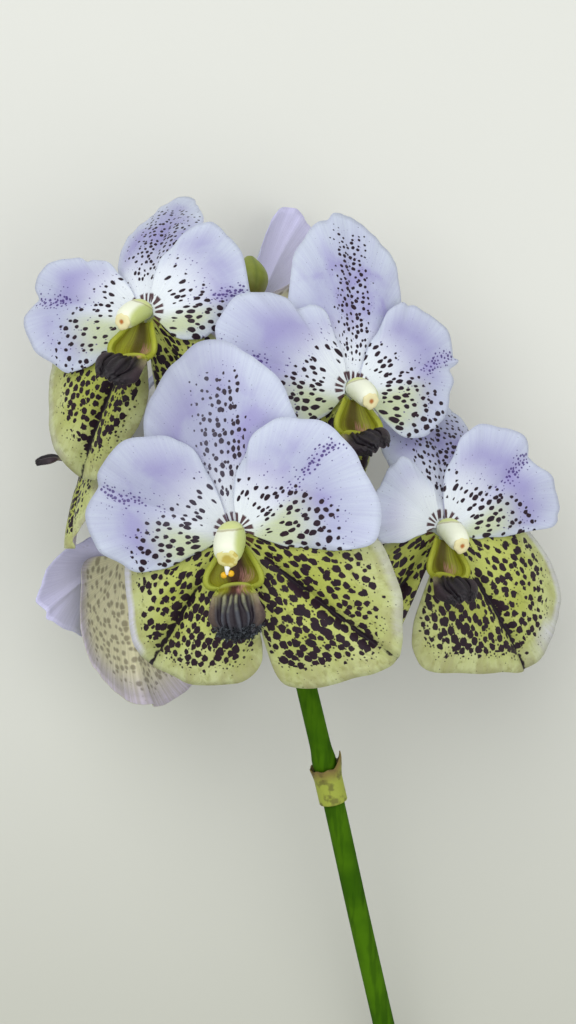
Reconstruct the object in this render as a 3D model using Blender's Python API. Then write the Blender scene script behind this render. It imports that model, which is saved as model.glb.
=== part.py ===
"""Cut spray of a spotted blue vanda orchid, lying on its back.

The spray is one green stem with seven open blooms and a closed bud. It lies
on a flat surface with the blooms' faces up. +Y runs along the stem from its
cut end to the bud, and +Z is up. All sizes below are in millimetres, and the
meshes are made in metres.
"""
import math

import bpy
import numpy as np

MM = 0.001
CLEAR = 0.35              # free space between neighbouring pieces
BLADE = 0.85              # thickness of a petal or sepal

# The stem: its axis from the cut end to the tip, and its radius there
STEM_ROUTE = (
    (45.1, -228.2, 3.6), (25.2, -141.5, 28.0), (15.0, -95.2, 41.2),
    (6.1, -57.2, 51.0), (-3.9, -15.4, 56.0), (-10.3, 19.9, 56.5),
    (-11.9, 45.8, 54.0), (-12.2, 66.0, 50.0))
STEM_RADII = (3.6, 3.55, 3.5, 3.35, 3.0, 2.6, 2.2, 1.7)
STEM_RINGS = 26
STEM_SIDES = 10
STEM_SAMPLES = 240        # steps in which its route is measured
NODE_AT = 0.337           # place of the swollen node, as a share of the stem
NODE_SWELL = 0.16
NODE_SPAN = 0.012

# The sheath bract round the stem below its node
SHEATH_AT = NODE_AT - 0.028
SHEATH_LENGTH = 12.5
SHEATH_WALL = 0.8
SHEATH_SWEEP = 300.0      # degrees round the stem, the rest is its slit
SHEATH_POINT = 4.0
SHEATH_POINT_AT = 0.22    # where its point is, as a share of its sweep
SHEATH_POINT_SPAN = 0.1
SHEATH_FLARE = 0.5        # its upper edge stands off by this much over 4 mm
SHEATH_FLARE_FROM, SHEATH_FLARE_OVER = 2.0, 4.0
SHEATH_GRID = (4, 13)

# The bud at the tip
BUD_LENGTH = 17.0
BUD_RADIUS = 6.0
BUD_TIP = 0.12            # its ends are this share of its radius at least
BUD_SPAN = (0.12, 0.95)   # the part of a half wave that its outline follows,
BUD_FULL = 1.25           # and how far its widest place is towards its tip
BUD_RINGS = 9
BUD_SIDES = 10

# The middle of a bloom, along its own axis: receptacle, sepals, petals, column
RECEPTACLE_TOP = -2.45
SEPAL_LEVEL = -1.5
PETAL_LEVEL = -0.4
COLUMN_FOOT = 0.35
CLAW_START = 2.6          # where a petal's claw begins, from the bloom's axis
CLAW_END = 3.2
CLAW_RISE = 6.0           # a petal or sepal is flat up to about here
OUTLINE_END = 2.76        # the outline runs this far round, in radians
HELD = 5                  # how sharply a lateral sepal is held at the midline
CLAW_CROWD = 1.25         # the steps along a petal crowd towards its claw
TIP_CROWD = 1.3           # and those round its outline towards its tip
MIDRIB_STEPS = 60
NOTCH_SPAN = 0.17         # half spans of the notch and the lobe at the tip, and
LOBE_SPAN = 0.36          # the span in which the ruffle fades out at the claw,
RUFFLE_FADES = 0.9        # all in radians round the outline
RUFFLES = ((5, 1.0, 1), (11, 0.6, 2))  # waves round it, their share and phase
VEIN_LEAVES = 0.45        # where a vein bends aside, as a share of its reach,
VEIN_SPREADS = (0.12, 0.33)  # and how far aside the inner and outer veins are
NARROWEST = 0.4           # least half width beside the midline, and the widest
WIDEST_APART = 1.3        # angle, in radians, from which it is worked out
CLAW_HELD = 0.8           # share of that width that the claw may take
SWELL_FROM = 3.0          # the halves swell from here over this share of the
SWELL_OVER = 0.45         # length, with their height towards the midrib
SWELL_POWER = 0.8
DROOP_FROM, DROOP_OVER, DROOP_POWER = 4.0, 14.0, 5
WAVE_FROM, WAVE_OVER, WAVE_POWER = 8.0, 16.0, 3
FRONT_GRID = (5, 15)      # steps along and round a petal of a front bloom
REAR_GRID = (4, 9)

# Column, lip and pedicel, in a bloom's own frame (+Z faces out, +Y is dorsal)
COLUMN_ROUTE = ((0, 0, COLUMN_FOOT), (0, 0, 1.7), (0, -0.5, 3.6),
                (0, -1.8, 6.0), (0, -3.6, 8.5), (0, -5.4, 10.4), (0, -6.4, 11.4))
COLUMN_RADII = (3.6, 3.9, 4.5, 4.8, 4.7, 4.1, 2.6)
COLUMN_SIDES = 8
COLUMN_RINGS = 7
LIP_WALL = 0.8
LIP_STARTS = 0.6          # free space between the column and the lip's start
# Along the lip: its middle line (y, z), half width and the rise of its sides
LIP_LINE = (
    (-4.5, 0.3, 3.4, 1.2), (-8.4, 0.0, 6.4, 4.8), (-11.2, 0.4, 8.4, 6.6),
    (-13.6, 1.6, 8.4, 5.8), (-15.6, 3.6, 6.4, 2.2), (-16.8, 5.8, 4.5, 0.8),
    (-18.4, 7.9, 5.4, 0.0), (-20.6, 10.0, 7.9, -0.8), (-23.6, 11.8, 8.9, -1.8),
    (-26.6, 12.8, 7.4, -1.6), (-29.2, 13.2, 4.8, -1.0))
LIP_NECK = 5              # the tongue swings about this point of the line
TONGUE_FROM = 0.5         # the tongue begins at this share of the line,
TONGUE_BLEND = 0.22       # and its turn and roll come in over this share
LIP_RIDGE = 0.7
LIP_RIDGES_FROM = 0.65    # its ridges begin at this share of its line
LIP_LEAN = 0.9            # how far the sides of its cup lean down the bloom
LIP_STEPS = 10
PEDICEL_RADIUS = 1.75
PEDICEL_FLARE = 3.3
PEDICEL_FLARE_FROM = 0.84
PEDICEL_LEAVES = 0.30     # how straight it leaves the stem and meets the bloom,
PEDICEL_LEANS = 0.12      # and how much it leans along the stem, as shares of
PEDICEL_MEETS = 0.42      # its reach
PEDICEL_WIDENS = 0.25
PEDICEL_CROWD = 0.9
PEDICEL_SIDES = 7
PEDICEL_RINGS = 10

# Shapes of the sepals and petals. left and right are the half widths on the
# two sides of the midrib as the bloom looks at you, heading is the direction
# of the midrib in degrees, eggs widens the outer half of each side, squares
# fills the corners of each side, notch and lobe shape the tip, pitch and arch
# lean it forward (+) or back (-) in degrees, bulge lifts the halves beside the
# midrib, droop turns the margin back, and wave ripples the margin.
DORSAL = dict(length=57, left=22.5, right=22.5, eggs=(0.0, 0.0), squares=(2.05, 2.05),
              claw=2.5, notch=0.0, lobe=2.6, pitch=-3, arch=-10,
              bulge=1.2, droop=1.6, wave=0.5, waves=5, ruffle=0.4, phase=0.4,
              level=SEPAL_LEVEL, midline=None)
PETAL = dict(length=45, left=20, right=22, eggs=(0.24, 0.24), squares=(2.15, 2.15),
             claw=2.3, notch=2.6, lobe=0.0, pitch=7, arch=-14,
             bulge=1.1, droop=1.8, wave=0.8, waves=4, ruffle=0.5, phase=1.3,
             level=PETAL_LEVEL, midline=None)
LATERAL = dict(length=54, left=22, right=27, eggs=(0.2, -0.05), squares=(2.5, 2.5),
               claw=2.0, notch=-1.5, lobe=0.0, pitch=-6, arch=-8,
               bulge=2.6, droop=3.2, wave=0.7, waves=4, ruffle=0.4, phase=2.2,
               level=SEPAL_LEVEL, midline=-90)

# Every bloom: where its column foot is, where it faces, which way its dorsal
# sepal points in the picture plane, its size, where its pedicel leaves the
# stem (as a share of the stem), how slim its column is, the shape of its lip,
# and what its petals and sepals have of their own
BLOOMS = {
    "front": dict(
        at=(-16.3, -6.3, 111.0), faces=(-0.2, -0.08, 0.97), up=95, size=1.0,
        stem_at=0.655, grid=FRONT_GRID, midline=-83, hang=22, lip_turn=0,
        slim=1.0, cup=1.0, tongue=(1, 0, 0),
        dorsal=dict(heading=92, length=56.4, left=24.7, right=23.5, eggs=(0.05, -0.24),
                    squares=(2.2, 2.3)),
        left_petal=dict(length=46.9, left=20.7, right=21.6, pitch=9, heading=157,
                        eggs=(0.31, 0.19), squares=(1.77, 1.7), notch=1.4),
        right_petal=dict(heading=35, length=44.8, left=18.3, right=26.8, pitch=9,
                         eggs=(0.15, 0.45), squares=(1.8, 1.9), notch=1.2, claw=1.3),
        left_lateral=dict(heading=-131, length=54.3, left=34.2, right=25.3, pitch=-9,
                          eggs=(-0.2, -0.46), squares=(1.7, 1.7)),
        right_lateral=dict(heading=-46, length=62.4, left=26.5, right=40, pitch=-9,
                           eggs=(-0.34, -0.46), squares=(2.1, 1.8))),
    "upper_left": dict(
        at=(-44.6, 62.4, 82.0), faces=(-0.36, 0.2, 0.9), up=73, size=1.0,
        stem_at=0.80, grid=FRONT_GRID, midline=-74, hang=-20, lip_turn=15,
        slim=0.8, cup=0.88, tongue=(0.85, -18, -10),
        dorsal=dict(heading=110, length=55.5, left=14.4, right=11.7, pitch=-19, arch=-30,
                    squares=(2.3, 1.8), lobe=5),
        left_petal=dict(heading=-173, length=44.6, left=21.8, right=15.6, pitch=4,
                        eggs=(0.04, 0.16), squares=(1.75, 1.8), claw=1.6),
        right_petal=dict(heading=33, length=34.6, left=23.4, right=12.4, pitch=-8, arch=-26,
                         eggs=(0.3, -0.5), squares=(2.47, 1.7), notch=1.2),
        left_lateral=dict(heading=-104, length=58.4, left=14.2, right=25.8, pitch=-13,
                          eggs=(-0.24, -0.16), squares=(2.8, 1.7)),
        right_lateral=dict(heading=-44, length=42, left=17, right=22, pitch=-34)),
    "upper_right": dict(
        at=(20.5, 38.3, 78.0), faces=(0.34, 0.2, 0.9), up=96, size=1.0,
        stem_at=0.74, grid=FRONT_GRID, midline=-110, hang=-32, lip_turn=-14,
        slim=0.8, cup=0.85, tongue=(0.8, 24, 12),
        dorsal=dict(heading=76, length=62.2, left=20.7, right=18.5, pitch=-8,
                    eggs=(-0.14, -0.09), squares=(2.7, 2.35)),
        left_petal=dict(heading=159, length=49, left=22, right=23.7, pitch=6, arch=-6,
                        eggs=(0.24, 0.08)),
        right_petal=dict(heading=13, length=42.5, left=20, right=20.2, pitch=3, arch=-18,
                         eggs=(0.45, -0.5), squares=(1.95, 1.7), claw=1.3),
        left_lateral=dict(heading=-138, length=42, left=22, right=18, pitch=-20),
        right_lateral=dict(heading=-82, length=36, left=6, right=12, pitch=-38)),
    "right": dict(
        at=(49.0, -5.3, 76.0), faces=(0.4, 0.12, 0.9), up=88, size=1.0,
        stem_at=0.62, grid=FRONT_GRID, midline=-108, hang=-26, lip_turn=-9,
        slim=0.8, cup=0.78, tongue=(0.8, 8, 14),
        dorsal=dict(heading=80, length=58, left=20, right=15, pitch=-18, arch=-26),
        left_petal=dict(heading=148, length=27, left=15, right=11.5, pitch=10, arch=0,
                        eggs=(0.35, 0.35), squares=(1.9, 2.2), notch=0.8, claw=1.2),
        right_petal=dict(heading=37, length=43.8, left=18.7, right=18.2,
                         eggs=(0.19, 0.5), squares=(1.95, 2.97)),
        left_lateral=dict(heading=-124, length=50, left=20, right=15, pitch=-18),
        right_lateral=dict(heading=-49, length=57.3, left=27.5, right=32.1, pitch=-9,
                           eggs=(-0.04, -0.5), squares=(2.9, 1.7))),
    "low_left": dict(
        at=(-56.0, -13.5, 40.0), faces=(-0.72, -0.2, -0.66), up=142, size=0.92,
        stem_at=0.62, grid=REAR_GRID, rests=True, midline=-78, hang=0, lip_turn=0,
        slim=0.8, cup=0.85, tongue=(1, 0, 0),
        dorsal=dict(length=26, left=9, right=9, pitch=-8),
        right_petal=dict(heading=10, length=48.9, left=13, right=22.1, eggs=(-0.08, -0.45),
                         squares=(2.6, 1.9)),
        left_petal=dict(heading=180, length=26, left=16, right=17, pitch=2),
        left_lateral=dict(heading=-114, length=52, pitch=-16),
        right_lateral=dict(heading=-40, length=60.8, left=26.8, right=33.1, pitch=-10,
                           eggs=(0.08, 0.06), squares=(3.0, 1.7))),
    "back_top": dict(
        at=(-14.0, 60.5, 38.0), faces=(-0.78, 0.1, -0.62), up=150, size=0.86,
        stem_at=0.79, grid=REAR_GRID, rests=True, midline=-90, hang=0, lip_turn=0,
        slim=0.8, cup=0.85, tongue=(1, 0, 0),
        dorsal=dict(length=18, left=9, right=9, pitch=-12),
        left_petal=dict(heading=175, length=57, left=18.2, right=13.5, pitch=11,
                        eggs=(0.4, 0.35), squares=(2.7, 1.95), notch=0.8, claw=1.2),
        right_petal=dict(heading=14, length=40, pitch=11),
        left_lateral=dict(pitch=-14), right_lateral=dict(pitch=-14)),
    "back_left": dict(
        at=(-62.0, 24.5, 36.0), faces=(-0.83, 0.55, 0.05), up=56, size=0.74,
        stem_at=0.75, grid=REAR_GRID, rests=True, midline=-90, hang=-25, lip_turn=0,
        slim=0.8, cup=0.85, tongue=(1, 0, 0),
        left_petal=dict(pitch=14), right_petal=dict(pitch=11),
        left_lateral=dict(heading=-145, length=40, left=18, right=20, pitch=-4),
        right_lateral=dict(heading=-54, length=57, left=20, right=18, pitch=-10)),
}
DEFAULT_HEADINGS = {"dorsal": 90, "left_petal": 163, "right_petal": 20,
                    "left_lateral": -129, "right_lateral": -51}
TEPAL_KINDS = {"dorsal": DORSAL, "left_petal": PETAL, "right_petal": PETAL,
               "left_lateral": LATERAL, "right_lateral": LATERAL}
NODE_NAMES = {"dorsal": "dorsal_sepal", "left_petal": "left_petal",
              "right_petal": "right_petal", "left_lateral": "left_lateral_sepal",
              "right_lateral": "right_lateral_sepal"}

# Colours as seen in the picture: red, green, blue, roughness
COLOURS = {
    "lavender": (0.62, 0.61, 0.84, 0.5), "spotted_green": (0.46, 0.50, 0.16, 0.5),
    "lip": (0.16, 0.11, 0.09, 0.45), "column": (0.86, 0.84, 0.62, 0.4),
    "stalk": (0.70, 0.72, 0.62, 0.5), "stem": (0.10, 0.30, 0.04, 0.4),
    "bract": (0.32, 0.36, 0.10, 0.6), "bud": (0.30, 0.38, 0.08, 0.5)}


def clear_scene():
    for old in list(bpy.data.objects):
        bpy.data.objects.remove(old, do_unlink=True)


def material(kind):
    found = bpy.data.materials.get(kind)
    if found:
        return found
    red, green, blue, rough = COLOURS[kind]
    made = bpy.data.materials.new(kind)
    made.use_nodes = True
    shader = made.node_tree.nodes["Principled BSDF"]
    shader.inputs["Base Color"].default_value = (red, green, blue, 1.0)
    shader.inputs["Roughness"].default_value = rough
    shader.inputs["Metallic"].default_value = 0.0
    made.diffuse_color = (red, green, blue, 1.0)
    return made


def smoothstep(value):
    part = np.clip(value, 0.0, 1.0)
    return part * part * (3.0 - 2.0 * part)


def signed_power(value, power):
    return np.sign(value) * np.abs(value) ** power


def unit(vector):
    vector = np.asarray(vector, dtype=float)
    return vector / np.linalg.norm(vector)


def smooth_route(points, steps):
    """Points at equal steps of a smooth curve (Catmull-Rom) through points."""
    points = np.asarray(points, dtype=float)
    padded = np.vstack((2 * points[0] - points[1], points,
                        2 * points[-1] - points[-2]))
    spans = len(points) - 1
    result = []
    for share in np.linspace(0.0, spans, steps):
        span = min(int(share), spans - 1)
        u = share - span
        p0, p1, p2, p3 = padded[span:span + 4]
        result.append(0.5 * (2 * p1 + (p2 - p0) * u
                             + (2 * p0 - 5 * p1 + 4 * p2 - p3) * u * u
                             + (3 * p1 - p0 - 3 * p2 + p3) * u ** 3))
    return np.array(result)


def tangents(points):
    """Directions along a row of points, one-sided at both ends."""
    steps = np.gradient(points, axis=0)
    return steps / np.linalg.norm(steps, axis=1)[:, None]


def add_object(name, vertices, faces, kind):
    """One closed body in metres, shaded smooth where it is round."""
    mesh = bpy.data.meshes.new(name)
    mesh.from_pydata([tuple(v * MM) for v in np.asarray(vertices)], [], faces)
    mesh.validate()
    mesh.shade_smooth()
    mesh.set_sharp_from_angle(angle=math.radians(50))
    mesh.materials.append(material(kind))
    made = bpy.data.objects.new(name, mesh)
    bpy.context.scene.collection.objects.link(made)
    return made


def tube(points, radii, sides, flat_start=None, flat_end=None):
    """Rings round a path with a fan of triangles at both ends."""
    along = tangents(points)
    if flat_start is not None:
        along[0] = unit(flat_start)
    if flat_end is not None:
        along[-1] = unit(flat_end)
    side = unit(np.cross(along[0], (0.31, 0.95, 0.05)))
    vertices = []
    for point, ahead, radius in zip(points, along, radii):
        side = unit(side - ahead * np.dot(side, ahead))
        up = np.cross(ahead, side)
        for step in range(sides):
            angle = 2 * math.pi * step / sides
            out = math.cos(angle) * side + math.sin(angle) * up
            vertices.append(point + radius * out)
    rings = len(points)
    faces = []
    for ring in range(rings - 1):
        for step in range(sides):
            a = ring * sides + step
            b = ring * sides + (step + 1) % sides
            faces.append((a, b, b + sides))
            faces.append((a, b + sides, a + sides))
    first, last = len(vertices), len(vertices) + 1
    vertices += [points[0], points[-1]]
    end = (rings - 1) * sides
    for step in range(sides):
        after = (step + 1) % sides
        faces.append((first, after, step))
        faces.append((last, end + step, end + after))
    return np.array(vertices), faces


def blade(front, back):
    """A closed body between two grids, both split into triangles the same way."""
    rows, columns = front.shape[:2]
    top, bottom = front.reshape(-1, 3), back.reshape(-1, 3)
    under = rows * columns
    faces = []
    for i in range(rows - 1):
        for j in range(columns - 1):
            a = i * columns + j
            b, c, d = a + 1, a + columns + 1, a + columns
            faces += [(a, d, c), (a, c, b)]
            faces += [(under + a, under + c, under + d), (under + a, under + b, under + c)]
    rim = list(range(columns))
    rim += [i * columns + columns - 1 for i in range(1, rows)]
    rim += [(rows - 1) * columns + j for j in range(columns - 2, -1, -1)]
    rim += [i * columns for i in range(rows - 2, 0, -1)]
    for here, after in zip(rim, rim[1:] + rim[:1]):
        faces += [(here, after, under + after), (here, under + after, under + here)]
    return np.vstack((top, bottom)), faces


def sheet(grid, wall):
    """A closed blade of even thickness round a grid of middle points."""
    normal = np.cross(np.gradient(grid, axis=0), np.gradient(grid, axis=1))
    normal /= np.linalg.norm(normal, axis=2)[..., None]
    return blade(grid + normal * wall / 2, grid - normal * wall / 2)


def outline(shape, turn):
    """Margin of a sepal or petal in its own plane: x along its midrib."""
    power = 2.0 / np.where(turn > 0, shape["squares"][0], shape["squares"][1])
    along = signed_power(np.cos(turn), power)
    aside = signed_power(np.sin(turn), power)
    half = (shape["length"] - CLAW_END) / 2
    width = np.where(turn > 0, shape["left"], shape["right"])
    x = CLAW_END + half * (1 + along)
    egg = np.where(turn > 0, shape["eggs"][0], shape["eggs"][1])
    y = width * aside * (1 + egg * along)
    x = x - shape["notch"] * np.exp(-(turn / NOTCH_SPAN) ** 2)
    x = x + shape["lobe"] * np.exp(-(turn / LOBE_SPAN) ** 4)
    uneven = shape["ruffle"] * sum(much * np.sin(waves * turn + times * shape["phase"])
                                   for waves, much, times in RUFFLES)
    uneven = uneven * smoothstep((OUTLINE_END - np.abs(turn)) / RUFFLE_FADES)
    return x + uneven * np.cos(turn), y + uneven * np.sin(turn)


def midrib(shape):
    """The midrib's bend, summed in small steps: flat x, lean, bent x and z."""
    steps = np.linspace(0.0, shape["length"] * 1.15, MIDRIB_STEPS)
    lean = np.radians(shape["pitch"] + shape["arch"] * steps / shape["length"])
    lean = lean * smoothstep((steps - CLAW_START) / CLAW_RISE)
    rib_x = np.concatenate(([0.0], np.cumsum(np.cos(lean[:-1]) * steps[1])))
    rib_z = np.concatenate(([0.0], np.cumsum(np.sin(lean[:-1]) * steps[1])))
    return steps, lean, rib_x, rib_z


def room_to_midline(shape, x):
    """Free width on the inner side of a lateral sepal's midrib."""
    apart = math.radians(shape["heading"] - shape["midline"])
    room = x * math.tan(min(abs(apart), WIDEST_APART)) - CLEAR / math.cos(apart)
    return np.maximum(room, NARROWEST)


def flat_shape(shape, along, turn):
    """Places in the plane of a sepal or petal that is laid out flat.

    along runs from 0 at the claw to 1 at the margin, down the veins, which
    fan out from the claw. turn tells the veins apart.
    """
    share = turn / OUTLINE_END
    edge_x, edge_y = outline(shape, turn)
    ends = 0.5 * np.abs(outline(shape, np.array((OUTLINE_END, -OUTLINE_END)))[1])
    claw = np.minimum(shape["claw"], np.where(turn > 0, ends[0], ends[1]))
    if shape["midline"] is not None:
        # The inner half of a lateral sepal keeps to its side of the midline
        inner = turn * (shape["midline"] - shape["heading"]) > 0
        steps, _, rib_x, _ = midrib(shape)
        room = room_to_midline(shape, np.interp(edge_x, steps, rib_x))
        full = np.abs(edge_y) / room
        held = np.sign(edge_y) * room * full / (1 + full ** HELD) ** (1 / HELD)
        edge_y = np.where(inner, held, edge_y)
        held = CLAW_HELD * room_to_midline(shape, CLAW_START)
        claw = np.where(inner, np.minimum(claw, held), claw)
    start_y = share * claw
    middle_x = CLAW_START + (edge_x - CLAW_START) * VEIN_LEAVES
    aside = VEIN_SPREADS[0] + VEIN_SPREADS[1] * share ** 2
    middle_y = start_y + aside * (edge_y - start_y)
    keep, bend, reach = (1 - along) ** 2, 2 * along * (1 - along), along ** 2
    x = keep * CLAW_START + bend * middle_x + reach * edge_x
    return x, keep * start_y + bend * middle_y + reach * edge_y


def relief(shape, x, y, along, turn):
    """Height over the flat shape: halves that swell, margins that turn back."""
    width = np.where(y > 0, shape["left"], shape["right"])
    across = np.clip(np.abs(y) / width, 0.0, 1.0)
    outward = smoothstep((x - SWELL_FROM) / (SWELL_OVER * shape["length"]))
    swell = shape["bulge"] * np.sin(math.pi * across ** SWELL_POWER) * outward
    back = shape["droop"] * along ** DROOP_POWER * smoothstep((x - DROOP_FROM) / DROOP_OVER)
    ripple = np.sin(shape["waves"] * turn + shape["phase"]) * along ** WAVE_POWER
    return swell - back + shape["wave"] * ripple * smoothstep((x - WAVE_FROM) / WAVE_OVER)


def tepal_points(shape, along, turn, shift):
    """Surface of a sepal or petal in its bloom's frame, shifted off its middle."""
    x, y = flat_shape(shape, along, turn)
    steps, lean, rib_x, rib_z = midrib(shape)
    here_x, here_z = np.interp(x, steps, rib_x), np.interp(x, steps, rib_z)
    tilt = np.interp(x, steps, lean)
    height = relief(shape, x, y, along, turn) + shift
    u = here_x - height * np.sin(tilt)
    w = here_z + height * np.cos(tilt) + shape["level"]
    heading = math.radians(shape["heading"])
    return np.stack((u * math.cos(heading) - y * math.sin(heading),
                     u * math.sin(heading) + y * math.cos(heading), w), axis=-1)


def tepal_shape(bloom, piece):
    shape = dict(TEPAL_KINDS[piece])
    shape["heading"] = DEFAULT_HEADINGS[piece]
    if piece.startswith("left"):
        shape["left"], shape["right"] = shape["right"], shape["left"]
        shape["eggs"] = shape["eggs"][::-1]
        shape["squares"] = shape["squares"][::-1]
        shape["phase"] = -shape["phase"]
    shape.update(bloom.get(piece, {}))
    if piece.endswith("lateral"):
        shape["midline"] = bloom["midline"]
    return shape


def bloom_frame(bloom):
    """Columns are the bloom's right, its dorsal direction and its facing."""
    facing = unit(bloom["faces"])
    up = math.radians(bloom["up"])
    dorsal = np.array((math.cos(up), math.sin(up), 0.0))
    dorsal = unit(dorsal - facing * np.dot(dorsal, facing))
    return np.column_stack((np.cross(dorsal, facing), dorsal, facing))


def to_world(points, frame, size, place):
    return (points * size) @ frame.T + np.asarray(place)


def lip_line(bloom):
    """The lip's middle line: it starts at the column and its tongue hangs down."""
    line = np.array(LIP_LINE, dtype=float)
    line[0, 0] = -COLUMN_RADII[1] * bloom["slim"] - LIP_STARTS
    neck = line[LIP_NECK, :2].copy()
    angle = math.radians(bloom["hang"])
    turn = np.array(((math.cos(angle), math.sin(angle)), (-math.sin(angle), math.cos(angle))))
    line[LIP_NECK + 1:, :2] = (line[LIP_NECK + 1:, :2] - neck) @ turn + neck
    return line


def swung(points, axis, angles):
    """Points turned about an axis through zero, each by its own angle."""
    axis = unit(axis)
    cosine, sine = np.cos(angles)[..., None], np.sin(angles)[..., None]
    ahead = (points @ axis)[..., None] * axis
    return points * cosine + np.cross(axis, points) * sine + ahead * (1 - cosine)


def lip_grid(rows, columns, bloom):
    """Middle surface of the lip: a cup that runs on into a ridged tongue.

    The bloom's cup and tongue say how wide they are, and the tongue also how
    many degrees it turns to the side and rolls about its own length.
    """
    line = smooth_route(lip_line(bloom), rows)
    ahead = tangents(line[:, :2])
    along = np.linspace(0.0, 1.0, rows)[:, None]
    share = np.linspace(-1.0, 1.0, columns)[None, :]
    swing = share * math.pi / 2
    free = smoothstep((along - TONGUE_FROM) / TONGUE_BLEND)
    width, turn, roll = bloom["tongue"]
    ridge = LIP_RIDGE * smoothstep((along - LIP_RIDGES_FROM) / 0.1) * np.cos(3 * np.pi * share)
    lift = line[:, 3:] * (1 - np.cos(swing)) + ridge
    half = line[:, 2:3] * (bloom["cup"] + (width - bloom["cup"]) * free)
    lean = free - LIP_LEAN * (1 - free)
    grid = np.stack((half * np.sin(swing), line[:, :1] + lift * ahead[:, 1:] * lean,
                     line[:, 1:2] + lift * np.abs(ahead[:, :1])), axis=-1)
    neck, tip = ((0, y, z) for y, z in lip_line(bloom)[(LIP_NECK, -1), :2])
    free = free * np.ones_like(share)
    grid = swung(grid - neck, np.subtract(tip, neck), math.radians(roll) * free)
    return swung(grid, (0, 0, 1), math.radians(turn) * free) + neck


def turned(points, degrees):
    """Points turned about the bloom's own axis."""
    angle = math.radians(degrees)
    turn = np.array(((math.cos(angle), math.sin(angle), 0),
                     (-math.sin(angle), math.cos(angle), 0), (0, 0, 1)))
    return points @ turn


def stem_points(share):
    """Axis point, direction and radius of the stem at a share of its length."""
    route = smooth_route(STEM_ROUTE, STEM_SAMPLES + 1)
    radii = smooth_route([(r, 0, 0) for r in STEM_RADII], STEM_SAMPLES + 1)[:, 0]
    index = share * STEM_SAMPLES
    low = min(int(index), STEM_SAMPLES - 1)
    mix = index - low
    point = route[low] * (1 - mix) + route[low + 1] * mix
    radius = radii[low] * (1 - mix) + radii[low + 1] * mix
    swell = 1 + NODE_SWELL * math.exp(-((share - NODE_AT) / NODE_SPAN) ** 2)
    return point, unit(route[low + 1] - route[low]), radius * swell


def stem_length():
    route = smooth_route(STEM_ROUTE, STEM_SAMPLES + 1)
    return np.linalg.norm(np.diff(route, axis=0), axis=1).sum()


def build_stem():
    shares = sorted(list(np.linspace(0.0, 1.0, STEM_RINGS))
                    + [NODE_AT - NODE_SPAN, NODE_AT, NODE_AT + NODE_SPAN])
    found = [stem_points(share) for share in shares]
    points = np.array([f[0] for f in found])
    vertices, faces = tube(points, [f[2] for f in found], STEM_SIDES)
    return add_object("stem", vertices, faces, "stem"), vertices[:, 2].min()


def build_sheath():
    """The bract is a sleeve with a slit, and its upper edge runs to a point."""
    point, ahead, radius = stem_points(SHEATH_AT)
    side = unit(np.cross(ahead, (0, 0, 1)))
    up = np.cross(side, ahead)
    length = stem_length()
    rows, columns = SHEATH_GRID
    grid = np.zeros((rows, columns, 3))
    for column in range(columns):
        share = column / (columns - 1)
        angle = math.radians(90 - SHEATH_SWEEP / 2 + SHEATH_SWEEP * share)
        out = math.cos(angle) * side + math.sin(angle) * up
        pointed = math.exp(-((share - SHEATH_POINT_AT) / SHEATH_POINT_SPAN) ** 2)
        reach = SHEATH_LENGTH / 2 + SHEATH_POINT * pointed
        for row in range(rows):
            along = -SHEATH_LENGTH / 2 + (reach + SHEATH_LENGTH / 2) * row / (rows - 1)
            near = stem_points(SHEATH_AT + along / length)
            flare = SHEATH_FLARE * max(0.0, along - SHEATH_FLARE_FROM) / SHEATH_FLARE_OVER
            stand = max(radius, near[2]) + CLEAR + SHEATH_WALL / 2 + flare
            grid[row, column] = point + along * ahead + stand * out
    vertices, faces = sheet(grid, SHEATH_WALL)
    return add_object("stem_sheath", vertices, faces, "bract")


def build_bud():
    tip, ahead, _ = stem_points(1.0)
    share = np.linspace(0.0, 1.0, BUD_RINGS)
    points = tip + np.outer(CLEAR + share * BUD_LENGTH, ahead)
    profile = np.sin(math.pi * (BUD_SPAN[0] + (BUD_SPAN[1] - BUD_SPAN[0]) * share) ** BUD_FULL)
    radii = BUD_RADIUS * np.maximum(profile, BUD_TIP)
    vertices, faces = tube(points, radii, BUD_SIDES)
    return add_object("bud", vertices, faces, "bud")


def build_pedicel(name, bloom, frame, place):
    """From the stem's surface in a smooth bend to the back of the bloom."""
    size = bloom["size"]
    axis, ahead, radius = stem_points(bloom["stem_at"])
    end = to_world(np.array((0, 0, RECEPTACLE_TOP / size)), frame, size, place)
    away = end - axis
    away = unit(away - ahead * np.dot(away, ahead))
    start = axis + away * (radius + CLEAR)
    reach = np.linalg.norm(end - start)
    facing = frame[:, 2]
    first = start + away * PEDICEL_LEAVES * reach + ahead * PEDICEL_LEANS * reach
    second = end - facing * PEDICEL_MEETS * reach
    share = np.linspace(0.0, 1.0, PEDICEL_RINGS)[:, None] ** PEDICEL_CROWD
    points = ((1 - share) ** 3 * start + 3 * (1 - share) ** 2 * share * first
              + 3 * (1 - share) * share ** 2 * second + share ** 3 * end)
    share = share[:, 0]
    flare = smoothstep((share - PEDICEL_FLARE_FROM) / (1 - PEDICEL_FLARE_FROM))
    radii = PEDICEL_RADIUS * (1 + PEDICEL_WIDENS * share)
    radii = size * (radii + (PEDICEL_FLARE - radii[-1]) * flare)
    vertices, faces = tube(points, radii, PEDICEL_SIDES, flat_start=away, flat_end=facing)
    return add_object(name + "_pedicel", vertices, faces, "stalk")


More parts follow.
